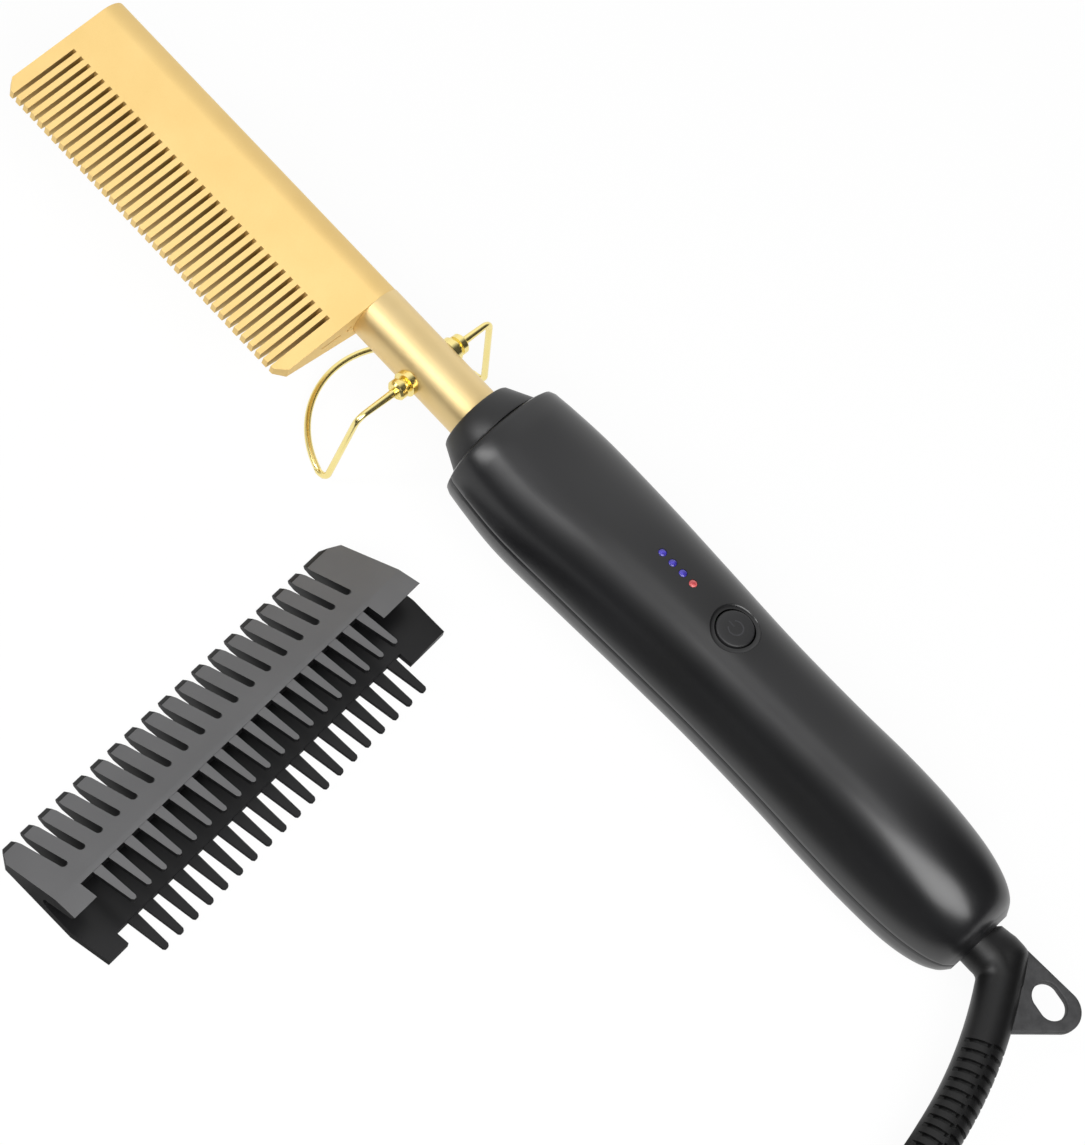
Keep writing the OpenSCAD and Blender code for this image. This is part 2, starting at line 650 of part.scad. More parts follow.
module tact_switch() {
    color("#3b3c40") tool() translate([button_x, 0, board_top]) {
        translate([-switch_w/2, -switch_w/2, 0]) cube([switch_w, switch_w, switch_h]);
        cylinder(r = 1.7, h = switch_h + plunger_h - button_travel);
    }
}

module indicator_leds() {
    color("#e8e6c8") tool() for (x = lens_x)
        translate([x - 0.8, -0.6, board_top]) cube([1.6, 1.2, 0.9]);
}

module triac() {
    color("#26272b") tool() translate([board_x + board_len - 22, -5, board_z - 4.6]) {
        cube([9.5, 10, 4.6]);
        translate([-6, 0, 3.3]) cube([6.5, 10, 1.3]);
    }
}

module film_capacitor() {
    color("#b9a13f") tool() translate([board_x + board_len - 24, -6, board_top]) cube([13, 6, 9]);
}

module controller_chip() {
    color("#17181b") tool() translate([board_x + 7.5, -3, board_top]) cube([8.5, 6, 1.5]);
}

module thermal_fuse() {
    color("#d8d2c4") tool() translate([0, -6.5, board_z - 2]) x_rod(board_x + 12, board_x + 24, 2);
}

module swivel_socket() {
    end_t = 2;
    color("#e6e2d6") tool() difference() {
        x_rod(socket_x, socket_x + socket_len, socket_r);
        x_rod(socket_x + end_t, socket_x + socket_len - end_t, barrel_r + turn_gap);
        x_rod(socket_x + end_t, socket_x + socket_len + cut, barrel_neck_r + turn_gap);
        for (x = ring_x) translate([x + ring_w/2, 0, 0]) cylinder(r = brush_r + slide_gap, h = socket_r + cut);
    }
}

module contact_brushes() {
    color("#7d6a4b") tool() for (x = ring_x)
        translate([x + ring_w/2, 0, barrel_r + seat_gap]) cylinder(r = brush_r, h = brush_top - barrel_r - seat_gap);
}

module supply_leads() {
    rear = board_x + board_len;
    mid_z = board_z + board_t/2;
    color("#2e4f8f") tool() for (i = [0, 1]) {
        side = i == 0 ? -1 : 1;
        y = side*supply_lead_y;
        top = [ring_x[i] + ring_w/2, side*brush_lead_y, brush_top + supply_lead_r];
        tube_sweep(bent([top, [rear + 9 - 2*i, y, top[2]], [rear + 4, y, mid_z], [rear, y, mid_z]], [2, 2], 20),
            supply_lead_r, 8);
    }
}

module swivel_barrel() {
    start = socket_x + 2 + seat_gap;
    color("#3c3d40") tool() difference() {
        union() {
            x_rod(start, socket_x + socket_len - 2 - seat_gap, barrel_r);
            x_rod(start, elbow_x - elbow_tangent - 1, barrel_neck_r);
        }
        for (x = ring_x) difference() {
            x_rod(x, x + ring_w, barrel_r + cut);
            x_rod(x - cut, x + ring_w + cut, barrel_r - 1);
        }
    }
}

module slip_rings() {
    color("#c8984a") tool() for (x = ring_x) difference() {
        x_rod(x, x + ring_w, barrel_r);
        x_rod(x - cut, x + ring_w + cut, barrel_r - 1);
    }
}

// Draws in the elbow's plane: x along the handle, y off the axis, z through the plane
module relief_plane() { rotate([180 + elbow_down, 0, 0]) children(); }

function arc_mid() = arc_start + sleeve_curve_r*[-sin(elbow_angle), cos(elbow_angle)];
function arc_at(s) = let (a = elbow_angle - 90 + s/sleeve_len*sleeve_angle)
    arc_mid() + sleeve_curve_r*[cos(a), sin(a)];

module hang_tab() {
    translate([0, 0, -tab_t/2]) linear_extrude(tab_t) difference() {
        hull() {
            translate(tab_end) circle(tab_end_r);
            translate(tab_root) circle(tab_root_r);
            translate(tab_low) circle(tab_low_r);
        }
        hull() for (p = tab_slot) translate(p) circle(tab_slot_r);
    }
}

// The sleeve keeps its radius and then tapers towards its end
function sleeve_r(s) = relief_r - 0.1 - (relief_r - 0.1 - relief_end_r)*max(0, s - sleeve_len + taper_len)/taper_len;

// Distance along the sleeve and radius of each ring of the ribbed length: groove, rib, rib, groove
rib_rings = [for (i = [0:rib_count - 1]) let (s = smooth_len + i*rib_pitch, r = sleeve_r(s + rib_w/2))
    each [[s, r - rib_depth], [s + rib_slope, r], [s + rib_w - rib_slope, r], [s + rib_w, r - rib_depth]]];
elbow_steps = 6;
elbow_mid = [elbow_x - elbow_tangent, elbow_r];
relief_rings = concat(
    [[relief_start, 0, relief_r]],
    [for (k = [0:elbow_steps]) let (a = elbow_angle*k/elbow_steps)
        [elbow_mid[0] + elbow_r*sin(a), elbow_mid[1] - elbow_r*cos(a), relief_r]],
    [for (g = concat([[0.5, relief_r], [smooth_len/2, sleeve_r(0)], [smooth_len - rib_pitch + rib_w, sleeve_r(0)],
        [smooth_len - rib_pitch + rib_w + rib_slope, sleeve_r(0) - rib_depth]], rib_rings,
        [[sleeve_len, relief_end_r - rib_depth]])) [arc_at(g[0])[0], arc_at(g[0])[1], g[1]]]);

module strain_relief() {
    color("#1c1c1d") tool() relief_plane() difference() {
        union() {
            tube_sweep([for (g = relief_rings) [g[0], g[1], 0]], [for (g = relief_rings) g[2]], 20);
            hang_tab();
        }
        x_rod(relief_start - cut, elbow_x - elbow_tangent - 1 + seat_gap, barrel_neck_r + slide_gap);
        translate(concat(relief_end - cord_socket*end_dir, 0)) rotate([0, 0, elbow_angle + sleeve_angle]) rotate([0, 90, 0])
            cylinder(r = cord_r + slide_gap, h = cord_socket + cut);
    }
}

module cord_lead() {
    color("#202021") tube_sweep(concat(spline(lead_route, 3), [coil_start]), cord_r, 8);
}

module cord_coil() {
    color("#202021") tube_sweep(coil_points, cord_r, 6);
}

module cord_tail() {
    color("#202021") tube_sweep(concat(spline(tail_route, 3), [plug_boot_end]), cord_r, 8);
}

// A flat strap round the bundle of turns
module cord_tie() {
    inner = coil_inner_r - cord_r - 1.4;
    outer = coil_radius(0) + cord_r + 0.6;
    top = coil_top_z + cord_r + 0.2;
    color("#303033") translate([coil_mid[0] - base_mid[0], coil_mid[1] - base_mid[1], 0]) rotate([0, 0, 40])
        difference() {
            translate([inner - tie_t, -tie_w/2, 0]) cube([outer - inner + 2*tie_t, tie_w, top + tie_t]);
            translate([inner, -tie_w/2 - cut, tie_t]) cube([outer - inner, tie_w + 2*cut, top - tie_t]);
        }
}

// A flat two-pin plug: body with sloped shoulders and a tapered boot
module plug_body() {
    b = plug_h;
    w = plug_w/2;
    color("#1f1f20") translate(table_point(plug_mid, 0)) {
        difference() {
            union() {
                linear_extrude(b) polygon([[-6, 0], [6, 0], [w, 14], [w, plug_len - 2], [w - 2, plug_len],
                    [2 - w, plug_len], [-w, plug_len - 2], [-w, 14]]);
                translate([0, 0.5, b/2]) rotate([90, 0, 0]) cylinder(r1 = 5.4, r2 = 4.2, h = 18.5);
            }
            translate([0, -19, b/2]) rotate([-90, 0, 0]) cylinder(r = cord_r + slide_gap, h = 7);
            for (s = [-1, 1]) translate([s*pin_half_gap, plug_len - pin_root, b/2]) rotate([-90, 0, 0])
                cylinder(r = pin_root_r + slide_gap, h = pin_root + cut);
        }
    }
}

module plug_pins() {
    color("#c8c9cc") translate(table_point(plug_mid, plug_h/2)) for (s = [-1, 1])
        translate([s*pin_half_gap, plug_len, 0]) rotate([-90, 0, 0]) rotate_extrude()
            polygon([[0, -pin_root], [pin_root_r, -pin_root], [pin_root_r, 0], [pin_r, 0], [pin_r, pin_len - 0.8],
                [pin_r - 0.8, pin_len], [0, pin_len]]);
}

module clip_section() {
    jaw = [plate_w + jaw_len, fold_h + 0.7];
    polygon(concat([[0.4, 0], [base_w, 0], [base_w, base_t]],
        [for (k = [0:5]) let (t = k/5) [base_w + (apex[0] + 1 - base_w)*t, base_t + (apex[1] + 0.2 - base_t)*t*t]],
        [for (a = [0:30:180]) [apex[0] + 1 - apex_gap/2*sin(a), apex[1] + 0.2 + apex_gap/2*(1 - cos(a))]],
        [[jaw[0] - 0.7, jaw[1] - jaw_t], jaw, [plate_w, fold_h], [1.2, 1.7], [0, 0.7]]));
}

// A thin tapered tooth that points along w, flat side down
module thin_tooth(reach, root_w, tip_w, t) {
    linear_extrude(t) polygon([[-1.5, -root_w/2], [0, -root_w/2], [reach - 0.5, -tip_w/2], [reach, -tip_w/2 + 0.4],
        [reach, tip_w/2 - 0.4], [reach - 0.5, tip_w/2], [0, root_w/2], [-1.5, root_w/2]]);
}

// A slot between two chunky teeth, seen from above, with its mouth opened a little
module chunky_slot() {
    half = chunky_slot_w/2;
    mouth = half + mouth_flare*(mouth_len + cut)/mouth_len;
    polygon([[-cut, -mouth], [mouth_len, -half], [chunky_slot_len, -half], [chunky_slot_len, half],
        [mouth_len, half], [-cut, mouth]]);
    translate([chunky_slot_len, 0]) circle(half);
}

// w points along X here, the comb's length along Y and v up
module clip_body() {
    between = clip_len - near_lobe_w - far_lobe_w;
    slot_pitch = (clip_len - slot_margin[0] - slot_margin[1])/(chunky_slots - 1);
    upper_slope = 6;
    difference() {
        intersection() {
            translate([0, clip_len + end_reach, 0]) rotate([90, 0, 0]) linear_extrude(clip_len + 2*end_reach) clip_section();
            translate([0, 0, -cut]) linear_extrude(fold_h + 3) polygon(concat([for (p = near_end) [p[0], -p[1]]],
                [for (i = [len(far_end) - 1:-1:0]) [far_end[i][0], clip_len + far_end[i][1]]]));
        }
        for (i = [0:chunky_slots - 1])
            translate([0, slot_margin[0] + i*slot_pitch, -cut]) linear_extrude(fold_h + 3) chunky_slot();
        translate([upper_edge_w, near_lobe_w, apex[1] + 1.5]) cube([12, between, 12]);
        translate([lower_edge_w, near_lobe_w, -cut]) cube([12, between, 5]);
    }
    for (i = [0:thin_count - 1]) {
        y = near_lobe_w + tooth_margin[0] + i*(between - tooth_margin[0] - tooth_margin[1])/(thin_count - 1);
        translate([upper_edge_w, y, fold_h - jaw_t + 0.2]) rotate([0, -upper_slope, 0])
            thin_tooth(upper_tooth_len, 2.5, 1.35, jaw_t - 0.2);
        translate([lower_edge_w, y, base_t - 0.2 - lower_tooth_t]) thin_tooth(lower_tooth_len, 2.85, 1.6, lower_tooth_t);
    }
}

module clip_on_comb() {
    color("#5c5d60") translate(table_point(clip_at, 0)) rotate([0, 0, clip_turn - 90]) clip_body();
}

comb_blade();
neck_tube();
neck_set_screw();
heater_rod();
heater_leads();
temperature_sensor();
stand_bosses();
stand_wire();
front_collar();
tube_clamp();
upper_shell();
lower_shell();
shell_screws();
power_button();
blue_lenses();
red_lens();
circuit_board();
board_screws();
tact_switch();
indicator_leds();
triac();
film_capacitor();
controller_chip();
thermal_fuse();
swivel_socket();
contact_brushes();
supply_leads();
swivel_barrel();
slip_rings();
strain_relief();
cord_lead();
cord_coil();
cord_tail();
cord_tie();
plug_body();
plug_pins();
clip_on_comb();
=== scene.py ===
"""Looks of an electric hot comb with a folding wire stand and a loose clip-on comb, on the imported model."""
import bisect
import json
import math
from functools import partial

import bmesh
import bpy
from bpy.props import FloatProperty, FloatVectorProperty, IntProperty, PointerProperty
from mathutils import Matrix, Vector


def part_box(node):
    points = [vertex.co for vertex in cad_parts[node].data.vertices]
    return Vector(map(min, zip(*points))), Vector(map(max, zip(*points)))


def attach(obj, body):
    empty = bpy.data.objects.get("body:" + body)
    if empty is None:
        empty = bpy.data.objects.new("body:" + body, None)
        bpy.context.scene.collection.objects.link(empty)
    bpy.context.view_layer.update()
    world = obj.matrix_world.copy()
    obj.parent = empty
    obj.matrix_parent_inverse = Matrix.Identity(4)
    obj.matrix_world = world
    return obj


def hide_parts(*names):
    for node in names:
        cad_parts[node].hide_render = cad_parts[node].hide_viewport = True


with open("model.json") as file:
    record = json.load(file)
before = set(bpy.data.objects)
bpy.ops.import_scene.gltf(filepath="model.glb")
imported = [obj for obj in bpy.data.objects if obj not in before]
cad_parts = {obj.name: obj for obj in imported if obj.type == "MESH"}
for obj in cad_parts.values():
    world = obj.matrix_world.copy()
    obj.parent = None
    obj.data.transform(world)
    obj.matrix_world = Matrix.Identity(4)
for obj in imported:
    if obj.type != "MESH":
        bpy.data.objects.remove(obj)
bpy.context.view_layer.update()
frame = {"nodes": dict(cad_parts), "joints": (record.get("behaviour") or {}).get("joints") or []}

bl_info = {
    "name": "Hot comb",
    "version": (1, 0, 0),
    "blender": (4, 5, 0),
    "location": "View3D > Sidebar > Hot comb",
    "description": "Builds the visible pieces and finishes of an electric hot comb on its packed frame",
    "category": "Object",
}

MM = 0.001


def linear(hex_colour):
    """Turns an sRGB hex value into the linear colour that Blender's sockets take."""
    value = hex_colour.lstrip("#")
    channels = [int(value[i:i + 2], 16) / 255 for i in (0, 2, 4)]
    return tuple(c / 12.92 if c <= 0.04045 else ((c + 0.055) / 1.055) ** 2.4 for c in channels)


# Where the tool lies: the stand's pivot and the swivel sit on the tube's axis, so the joints give its line

JOINTS = {joint["name"]: joint for joint in frame["joints"]}
STAND_X = 18.0
NECK_LEN = 33.7
COLLAR_LEN = 7.3
HANDLE_LEN = 154.5
FRONT_X = NECK_LEN + COLLAR_LEN
REAR_X = FRONT_X + HANDLE_LEN
PIVOT = Vector(JOINTS["stand_pivot"]["pos_m"])
SWIVEL = Vector(JOINTS["cord_turn"]["pos_m"])
AXIS_X = (SWIVEL - PIVOT).normalized()
AXIS_Y = Vector((0, 1, 0))
AXIS_Z = AXIS_X.cross(AXIS_Y).normalized()
ORIGIN = PIVOT - AXIS_X * STAND_X * MM
TOOL = Matrix((
    (AXIS_X.x, AXIS_Y.x, AXIS_Z.x, ORIGIN.x),
    (AXIS_X.y, AXIS_Y.y, AXIS_Z.y, ORIGIN.y),
    (AXIS_X.z, AXIS_Y.z, AXIS_Z.z, ORIGIN.z),
    (0, 0, 0, 1))) @ Matrix.Scale(MM, 4)
TABLE_MID = (STAND_X * AXIS_X.x - PIVOT.x / MM, -PIVOT.y / MM)

# Camera, fitted to the picture in the tool's own frame
CAMERA_AT = Vector((192.75, -386.80, 662.02))
CAMERA_RIGHT = Vector((0.6794, 0.6861, 0.2603))
CAMERA_UP = Vector((-0.7165, 0.5438, 0.4369))
CAMERA_BACK = Vector((0.158, -0.483, 0.861))
LENS_MM = 109.2
SENSOR_MM = 36.0

# Handle, in millimetres. Each station has its x, half width, height of the top and depth of the underside
TOP_H = 18.2
GRIP_TOP_H = 20.0
STATIONS = [
    (FRONT_X, 14.7, 12.9, 12.5),
    (FRONT_X + 0.5, 15.8, 14.0, 13.6),
    (FRONT_X + 1.8, 16.3, 14.6, 14.2),
    (FRONT_X + 6, 16.8, 14.9, 14.8),
    (FRONT_X + 19, 17.6, 15.6, 16.2),
    (FRONT_X + 39, 16.8, TOP_H - 0.7, 15.2),
    (FRONT_X + 59, 15.8, TOP_H, 14.3),
    (FRONT_X + 79, 15.0, TOP_H + 0.1, 13.9),
    (REAR_X - 55, 14.9, GRIP_TOP_H - 0.9, 13.9),
    (REAR_X - 40, 15.2, GRIP_TOP_H, 14.0),
    (REAR_X - 27, 15.1, GRIP_TOP_H - 0.2, 14.1),
    (REAR_X - 15, 14.3, GRIP_TOP_H - 1.7, 14.0),
    (REAR_X - 7, 12.7, GRIP_TOP_H - 4, 12.5),
    (REAR_X - 2.2, 10.6, 12.8, 9.7),
    (REAR_X, 8.2, 8.2, 7.0)]
STRAIGHT_ROWS = 3
SQUARENESS = 2.3
# Thickness of a shell, how far its two ends are closed, and the play of what turns, slides or sits in a hole
WALL = 2.0
FRONT_WALL = 3.0
REAR_WALL = 9.5
PLAY = 0.05
BARREL_PLAY = 0.15
COLLAR_SPIGOT_R = 12.25
COLLAR_R = 12.65
COLLAR_SMALL_R = 9.7
TUBE_R = 6.75

# Power button, the shallow ring round its hole, its printed sign, and the indicator lenses
BUTTON_X = FRONT_X + 69.7
CAP_R = 4.47
CAP_H = 6.0
CAP_SUNK = 0.25
HOLE_R = 4.8
HOLE_DEPTH = 12.0
GROOVE_R = 5.9
GROOVE_DEPTH = 0.32
SIGN_R = 1.75
SIGN_OPENING = 80.0
SIGN_BAR = (0.5, 2.2)
SIGN_HALF_W = 0.17
SIGN_T = 0.06
SIGN_CROWN = 0.002
LENS_R = 0.95
LENS_PITCH = 3.2
LENS_TO_BUTTON = 13.5
LENS_X = [BUTTON_X - LENS_TO_BUTTON - (3 - i) * LENS_PITCH for i in range(4)]
LENS_ROOT = 5.0
SCREW_PLACES = [(FRONT_X + 16.6, 12.2), (REAR_X - 44, 9.2)]
SCREW_HEAD_R = 2.1
SCREW_WELL_Z = -38.1
DRILL_LEN = 30.0

# Strain relief, in a plane through the handle's axis: x along the axis, then distance off it
RELIEF_R = 5.5
SLEEVE_R = 5.1
RELIEF_END_R = 4.6
ELBOW_OUT = 7.3
ELBOW_ANGLE = 58.0
ELBOW_R = 7.0
ELBOW_TANGENT = ELBOW_R * math.tan(math.radians(ELBOW_ANGLE / 2))
ELBOW_DOWN = 5.0
SLEEVE_ANGLE = 30.0
SLEEVE_CURVE_R = 105.0
SLEEVE_LEN = SLEEVE_CURVE_R * math.radians(SLEEVE_ANGLE)
# Directions round the sleeve in degrees: 0 is up, 90 the inner side of the bend. Its slots stop before the
# inner side and at a thin bridge near the top
INNER_SIDE = 90
INNER_SOLID = 24
TOP_BRIDGE = -9
BRIDGE_HALF = 3.5
SLOT_RUN_OUT = 4.0
# How far the bend's outside stands off the axis, how sharp its corner is, and how fast it sinks to the sides
HEEL_R = 6.9
HEEL_SHARP = 24.0
HEEL_FALL = 1.5
RELIEF_START = REAR_X - REAR_WALL + 1.2
# The sleeve's smooth start, then its slots. Those on the outer side lie a little nearer to the handle
SMOOTH_LEN = 15.0
SLOT_COUNT = 16
SLOT_PITCH = (SLEEVE_LEN - SMOOTH_LEN) / SLOT_COUNT
SLOT_HALF_W = 0.43
SLOT_EDGE = 0.08
SLOT_SHIFT = 0.55
TAPER_LEN = 18.0
END_ROUND = 0.6
# Hang tab: an outline and a slot, each round circles with a centre and a radius
TAB_T = 2.2
TAB_ROUND = 0.5
TAB_OUTLINE = [((REAR_X + 22.4, -2.65), 5.1), ((REAR_X + 1.6, -5.9), 0.9), ((REAR_X + 17.3, 9.3), 1.1)]
TAB_SLOT = [((REAR_X + 18.35, -2.55), 3.2), ((REAR_X + 20.9, -2.1), 3.2)]

# Blade slot walls with painted shade: least distance from its ends, and how squarely they face along the tool
END_TOOTH = 2.0
SLOT_WALL_ALONG = 0.8
# Painted grey highlight on the clip-on comb's top: on faces above this height that look up at least this much
PAINTED_SHEEN_ABOVE = 5.0
PAINTED_SHEEN_UP = 0.22

# Stand: half width and drop of its legs, how far they flare out, lean and twist, and the bow between its feet
WIRE_R = 0.8
STAND_HALF_W = 21.2
STAND_DROP = 26.4
STAND_FLARE = 2.9
BOW_REACH = 22.4
STAND_LEAN = 2.3
STAND_TWIST = 2.1
STAND_SHIFT = 1.3
REST_GUESS = 0.079
TOP_BEND = 2.6
FOOT_BEND = 3.2
# The wire's pins in the bosses are thicker, and taper to the wire
PIN_START = TUBE_R + 1.0
PIN_GROWTH = 0.25
PIN_END = 17.0
PIN_TAPER = 8.0

# Cord, in the table's own millimetres from the middle of the tool
CORD_D = 5.9
CORD_SOCKET = 6.0
COIL_MID = (270 - TABLE_MID[0], -101 - TABLE_MID[1])
COIL_TURNS = 7.5
COIL_PITCH = CORD_D + 0.5
COIL_INNER_R = 22.8
COIL_LIFT = 0.8
COIL_STEPS = 24
CLIMB_TURNS = 0.5
PLUG_MID = (COIL_MID[0] + COIL_INNER_R + COIL_PITCH * COIL_TURNS / 2, -46 - TABLE_MID[1])
PLUG_H = 13.6

# Stage, in metres and degrees. A light's place is its azimuth and its angle down from straight above
FLOOR_HALF = 3.0
STAGE_MID = Vector((0, 0, 0.02))
LIGHT_DISTANCE = 1.3
SOFTBOXES = {
    "key_softbox": ((-34, 42), (1.25, 0.92), "key_power"),
    "strip_softbox": ((-129, 49), (0.22, 0.85), "side_power"),
    "top_softbox": ((-80, 8), (0.45, 0.45), "top_power")}
# Share of the floor that the camera and reflections see as plain white
FLOOR_WHITE = 0.95
# A dark card on the floor in front of the tool, which only reflections see: where it fades in, measured from
# the handle's front end, and how dark it is
CARD_FADE_Y = (-0.030, -0.040)
CARD_FADE_X = (-0.02, 0.01)
CARD_DARKNESS = 0.85
# What glossy surfaces see round the table: one pale wall, and a dark flag beyond the handle's end. Each has a
# direction, the cosines between which it fades, and the strengths there
PALE_WALL = ((112, 60), (-0.5, 0.95), (0.06, 1.15))
DARK_FLAG = ((34, 60), (0.5, 0.86), (1.0, 0.08))


# Mesh helpers


def face_outward(mesh):
    """Turns the faces of a closed mesh outward, which the exact cuts need as well as the shading."""
    bm = bmesh.new()
    bm.from_mesh(mesh)
    bmesh.ops.recalc_face_normals(bm, faces=bm.faces)
    bm.to_mesh(mesh)
    bm.free()


def solid_object(name, verts, faces):
    """Makes a closed mesh object from points in metres."""
    mesh = bpy.data.meshes.new(name)
    mesh.from_pydata([tuple(v) for v in verts], [], faces)
    mesh.validate()
    face_outward(mesh)
    solid = bpy.data.objects.new(name, mesh)
    bpy.context.scene.collection.objects.link(solid)
    return solid


def new_piece(name, verts, faces, material, body, replaced, sharp):
    """Makes a mesh object from points in metres, gives it a finish and hangs it on its body."""
    return settle(solid_object(name, verts, faces), material, body, replaced, sharp)


def settle(piece, material, body, replaced, sharp, even=False):
    """Turns faces outward, smooths the soft edges, finishes the piece, hangs it on its body, hides what it
    replaces.
    """
    mesh = piece.data
    face_outward(mesh)
    mesh.shade_smooth()
    mesh.set_sharp_from_angle(angle=math.radians(sharp))
    if even:
        weigh = piece.modifiers.new("flat faces stay flat", "WEIGHTED_NORMAL")
        weigh.keep_sharp = True
        weigh.weight = 100
        bake_modifiers(piece)
        mesh = piece.data
    mesh.materials.clear()
    mesh.materials.append(material)
    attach(piece, body)
    if replaced:
        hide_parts(*replaced)
    return piece


def bake_modifiers(piece):
    """Swaps the piece's mesh for the result of its modifiers."""
    graph = bpy.context.evaluated_depsgraph_get()
    graph.update()
    done = bpy.data.meshes.new_from_object(piece.evaluated_get(graph))
    old = piece.data
    piece.modifiers.clear()
    piece.data = done
    bpy.data.meshes.remove(old)


def rounded_copy(node, name, width, segments, material, body, limit=30.0):
    """A copy of a solid with its edges rounded by a small radius, as a mould or a tumbler leaves them."""
    mesh = frame["nodes"][node].data.copy()
    piece = bpy.data.objects.new(name, mesh)
    bpy.context.scene.collection.objects.link(piece)
    bm = bmesh.new()
    bm.from_mesh(mesh)
    weld = 0.002 * MM
    bmesh.ops.remove_doubles(bm, verts=bm.verts, dist=weld)
    bmesh.ops.dissolve_degenerate(bm, edges=bm.edges, dist=weld)
    bmesh.ops.dissolve_limit(bm, angle_limit=math.radians(0.6), verts=bm.verts, edges=bm.edges)
    bm.to_mesh(mesh)
    bm.free()
    if mesh.has_custom_normals:
        bpy.context.view_layer.objects.active = piece
        piece.select_set(True)
        bpy.ops.mesh.customdata_custom_splitnormals_clear()
        piece.select_set(False)
    bevel = piece.modifiers.new("edge rounding", "BEVEL")
    bevel.width = width * MM
    bevel.segments = segments
    bevel.limit_method = "ANGLE"
    bevel.angle_limit = math.radians(limit)
    bevel.use_clamp_overlap = True
    bevel.miter_outer = "MITER_ARC"
    bake_modifiers(piece)
    return settle(piece, material, body, (node,), 50.0, True)


def sweep(points, radii, sides, shape=None):
    """Points and faces of rings carried along a line without twisting; shape(i, angle) scales the radius."""
    count = len(points)
    headings = []
    for i in range(count):
        ahead = (points[i + 1] - points[i]).normalized() if i < count - 1 else Vector((0, 0, 0))
        behind = (points[i] - points[i - 1]).normalized() if i > 0 else Vector((0, 0, 0))
        headings.append((ahead + behind).normalized())
    side = Vector((0, 0, 1)) if abs(headings[0].z) < 0.9 else Vector((1, 0, 0))
    verts = []
    for i in range(count):
        side = (side - headings[i] * side.dot(headings[i])).normalized()
        other = headings[i].cross(side)
        for k in range(sides):
            angle = 2 * math.pi * k / sides
            radius = radii[i] * (shape(i, angle) if shape else 1.0)
            verts.append(points[i] + side * radius * math.cos(angle) + other * radius * math.sin(angle))
    faces = []
    for i in range(count - 1):
        near, far = i * sides, (i + 1) * sides
        faces += [(near + k, far + k, far + (k + 1) % sides, near + (k + 1) % sides) for k in range(sides)]
    faces.append(tuple(range(sides)))
    faces.append(tuple(reversed(range((count - 1) * sides, count * sides))))
    return verts, faces


def turned(profile, place, segments):
    """A solid of revolution about x, from a list of (x, radius) that is closed where the radius is 0."""
    angles = [2 * math.pi * k / segments for k in range(segments)]
    verts, rings = [], []
    for x, r in profile:
        if r <= 0:
            rings.append([len(verts)])
            verts.append(place @ Vector((x, 0, 0)))
        else:
            rings.append(list(range(len(verts), len(verts) + segments)))
            verts += [place @ Vector((x, r * math.cos(a), r * math.sin(a))) for a in angles]
    faces = []
    for a, b in zip(rings, rings[1:]):
        for k in range(segments):
            j = (k + 1) % segments
            if len(a) == 1 and len(b) == 1:
                continue
            if len(a) == 1:
                faces.append((a[0], b[k], b[j]))
            elif len(b) == 1:
                faces.append((a[k], b[0], a[j]))
            else:
                faces.append((a[k], b[k], b[j], a[j]))
    return verts, faces


def catmull(a, b, c, d, t):
    """Point between b and c, at the share t, of the smooth curve through all four."""
    first, second, third = c - a, 2 * a - 5 * b + 4 * c - d, 3 * b - a - 3 * c + d
    return 0.5 * ((2 * b) + first * t + second * t * t + third * t ** 3)


def spline(points, steps, straight=0):
    """A smooth line through points, as in the source of the solids. Its first spans can stay straight."""
    last = len(points) - 1
    line = []
    for i in range(last):
        a, b, c, d = (points[min(max(j, 0), last)] for j in (i - 1, i, i + 1, i + 2))
        count = 1 if i < straight else steps
        line += [catmull(a, b, c, d, t / count) for t in range(count)]
    return line + [points[-1]]


def bent(points, bends, step):
    """A route whose corners are bent to the given radii, with one point every few degrees."""
    line = [points[0]]
    for i in range(1, len(points) - 1):
        radius = bends[i - 1]
        if radius == 0:
            line.append(points[i])
            continue
        a = (points[i] - points[i - 1]).normalized()
        b = (points[i + 1] - points[i]).normalized()
        turn = math.acos(max(-1, min(1, a.dot(b))))
        centre = points[i] + (b - a).normalized() * radius / math.cos(turn / 2)
        first = (points[i] - a * radius * math.tan(turn / 2) - centre).normalized()
        count = math.ceil(math.degrees(turn) / step)
        line += [centre + (first * math.cos(turn * k / count) + a * math.sin(turn * k / count)) * radius
                 for k in range(count + 1)]
    return line + [points[-1]]


def cut_out(piece, cutters):
    """Takes the cutters out of the piece, one after another, and deletes them."""
    for cutter in cutters:
        cut = piece.modifiers.new("cut", "BOOLEAN")
        cut.operation = "DIFFERENCE"
        cut.solver = "EXACT"
        cut.object = cutter
    bake_modifiers(piece)
    for cutter in cutters:
        mesh = cutter.data
        bpy.data.objects.remove(cutter)
        bpy.data.meshes.remove(mesh)


# Finishes


def add_node(tree, kind, sockets=None, stops=None, **settings):
    """Adds a node, sets its properties, and fills its inputs with values or with other nodes' outputs."""
    made = tree.nodes.new("ShaderNode" + kind)
    for key, value in settings.items():
        setattr(made, key, value)
    for key, value in (sockets or {}).items():
        if isinstance(value, bpy.types.NodeSocket):
            tree.links.new(value, made.inputs[key])
        else:
            made.inputs[key].default_value = value
    if stops:
        ramp = made.color_ramp
        while len(ramp.elements) < len(stops):
            ramp.elements.new(0.5)
        for element, (place, colour) in zip(ramp.elements, stops):
            element.position = place
            element.color = (*colour, 1)
    return made


def start_finish(name):
    """An empty material with its node tree and the object's own coordinates, which are in metres."""
    material = bpy.data.materials.new(name)
    material.use_nodes = True
    tree = material.node_tree
    tree.nodes.clear()
    place = add_node(tree, "TexCoord").outputs["Object"]
    return material, tree, place


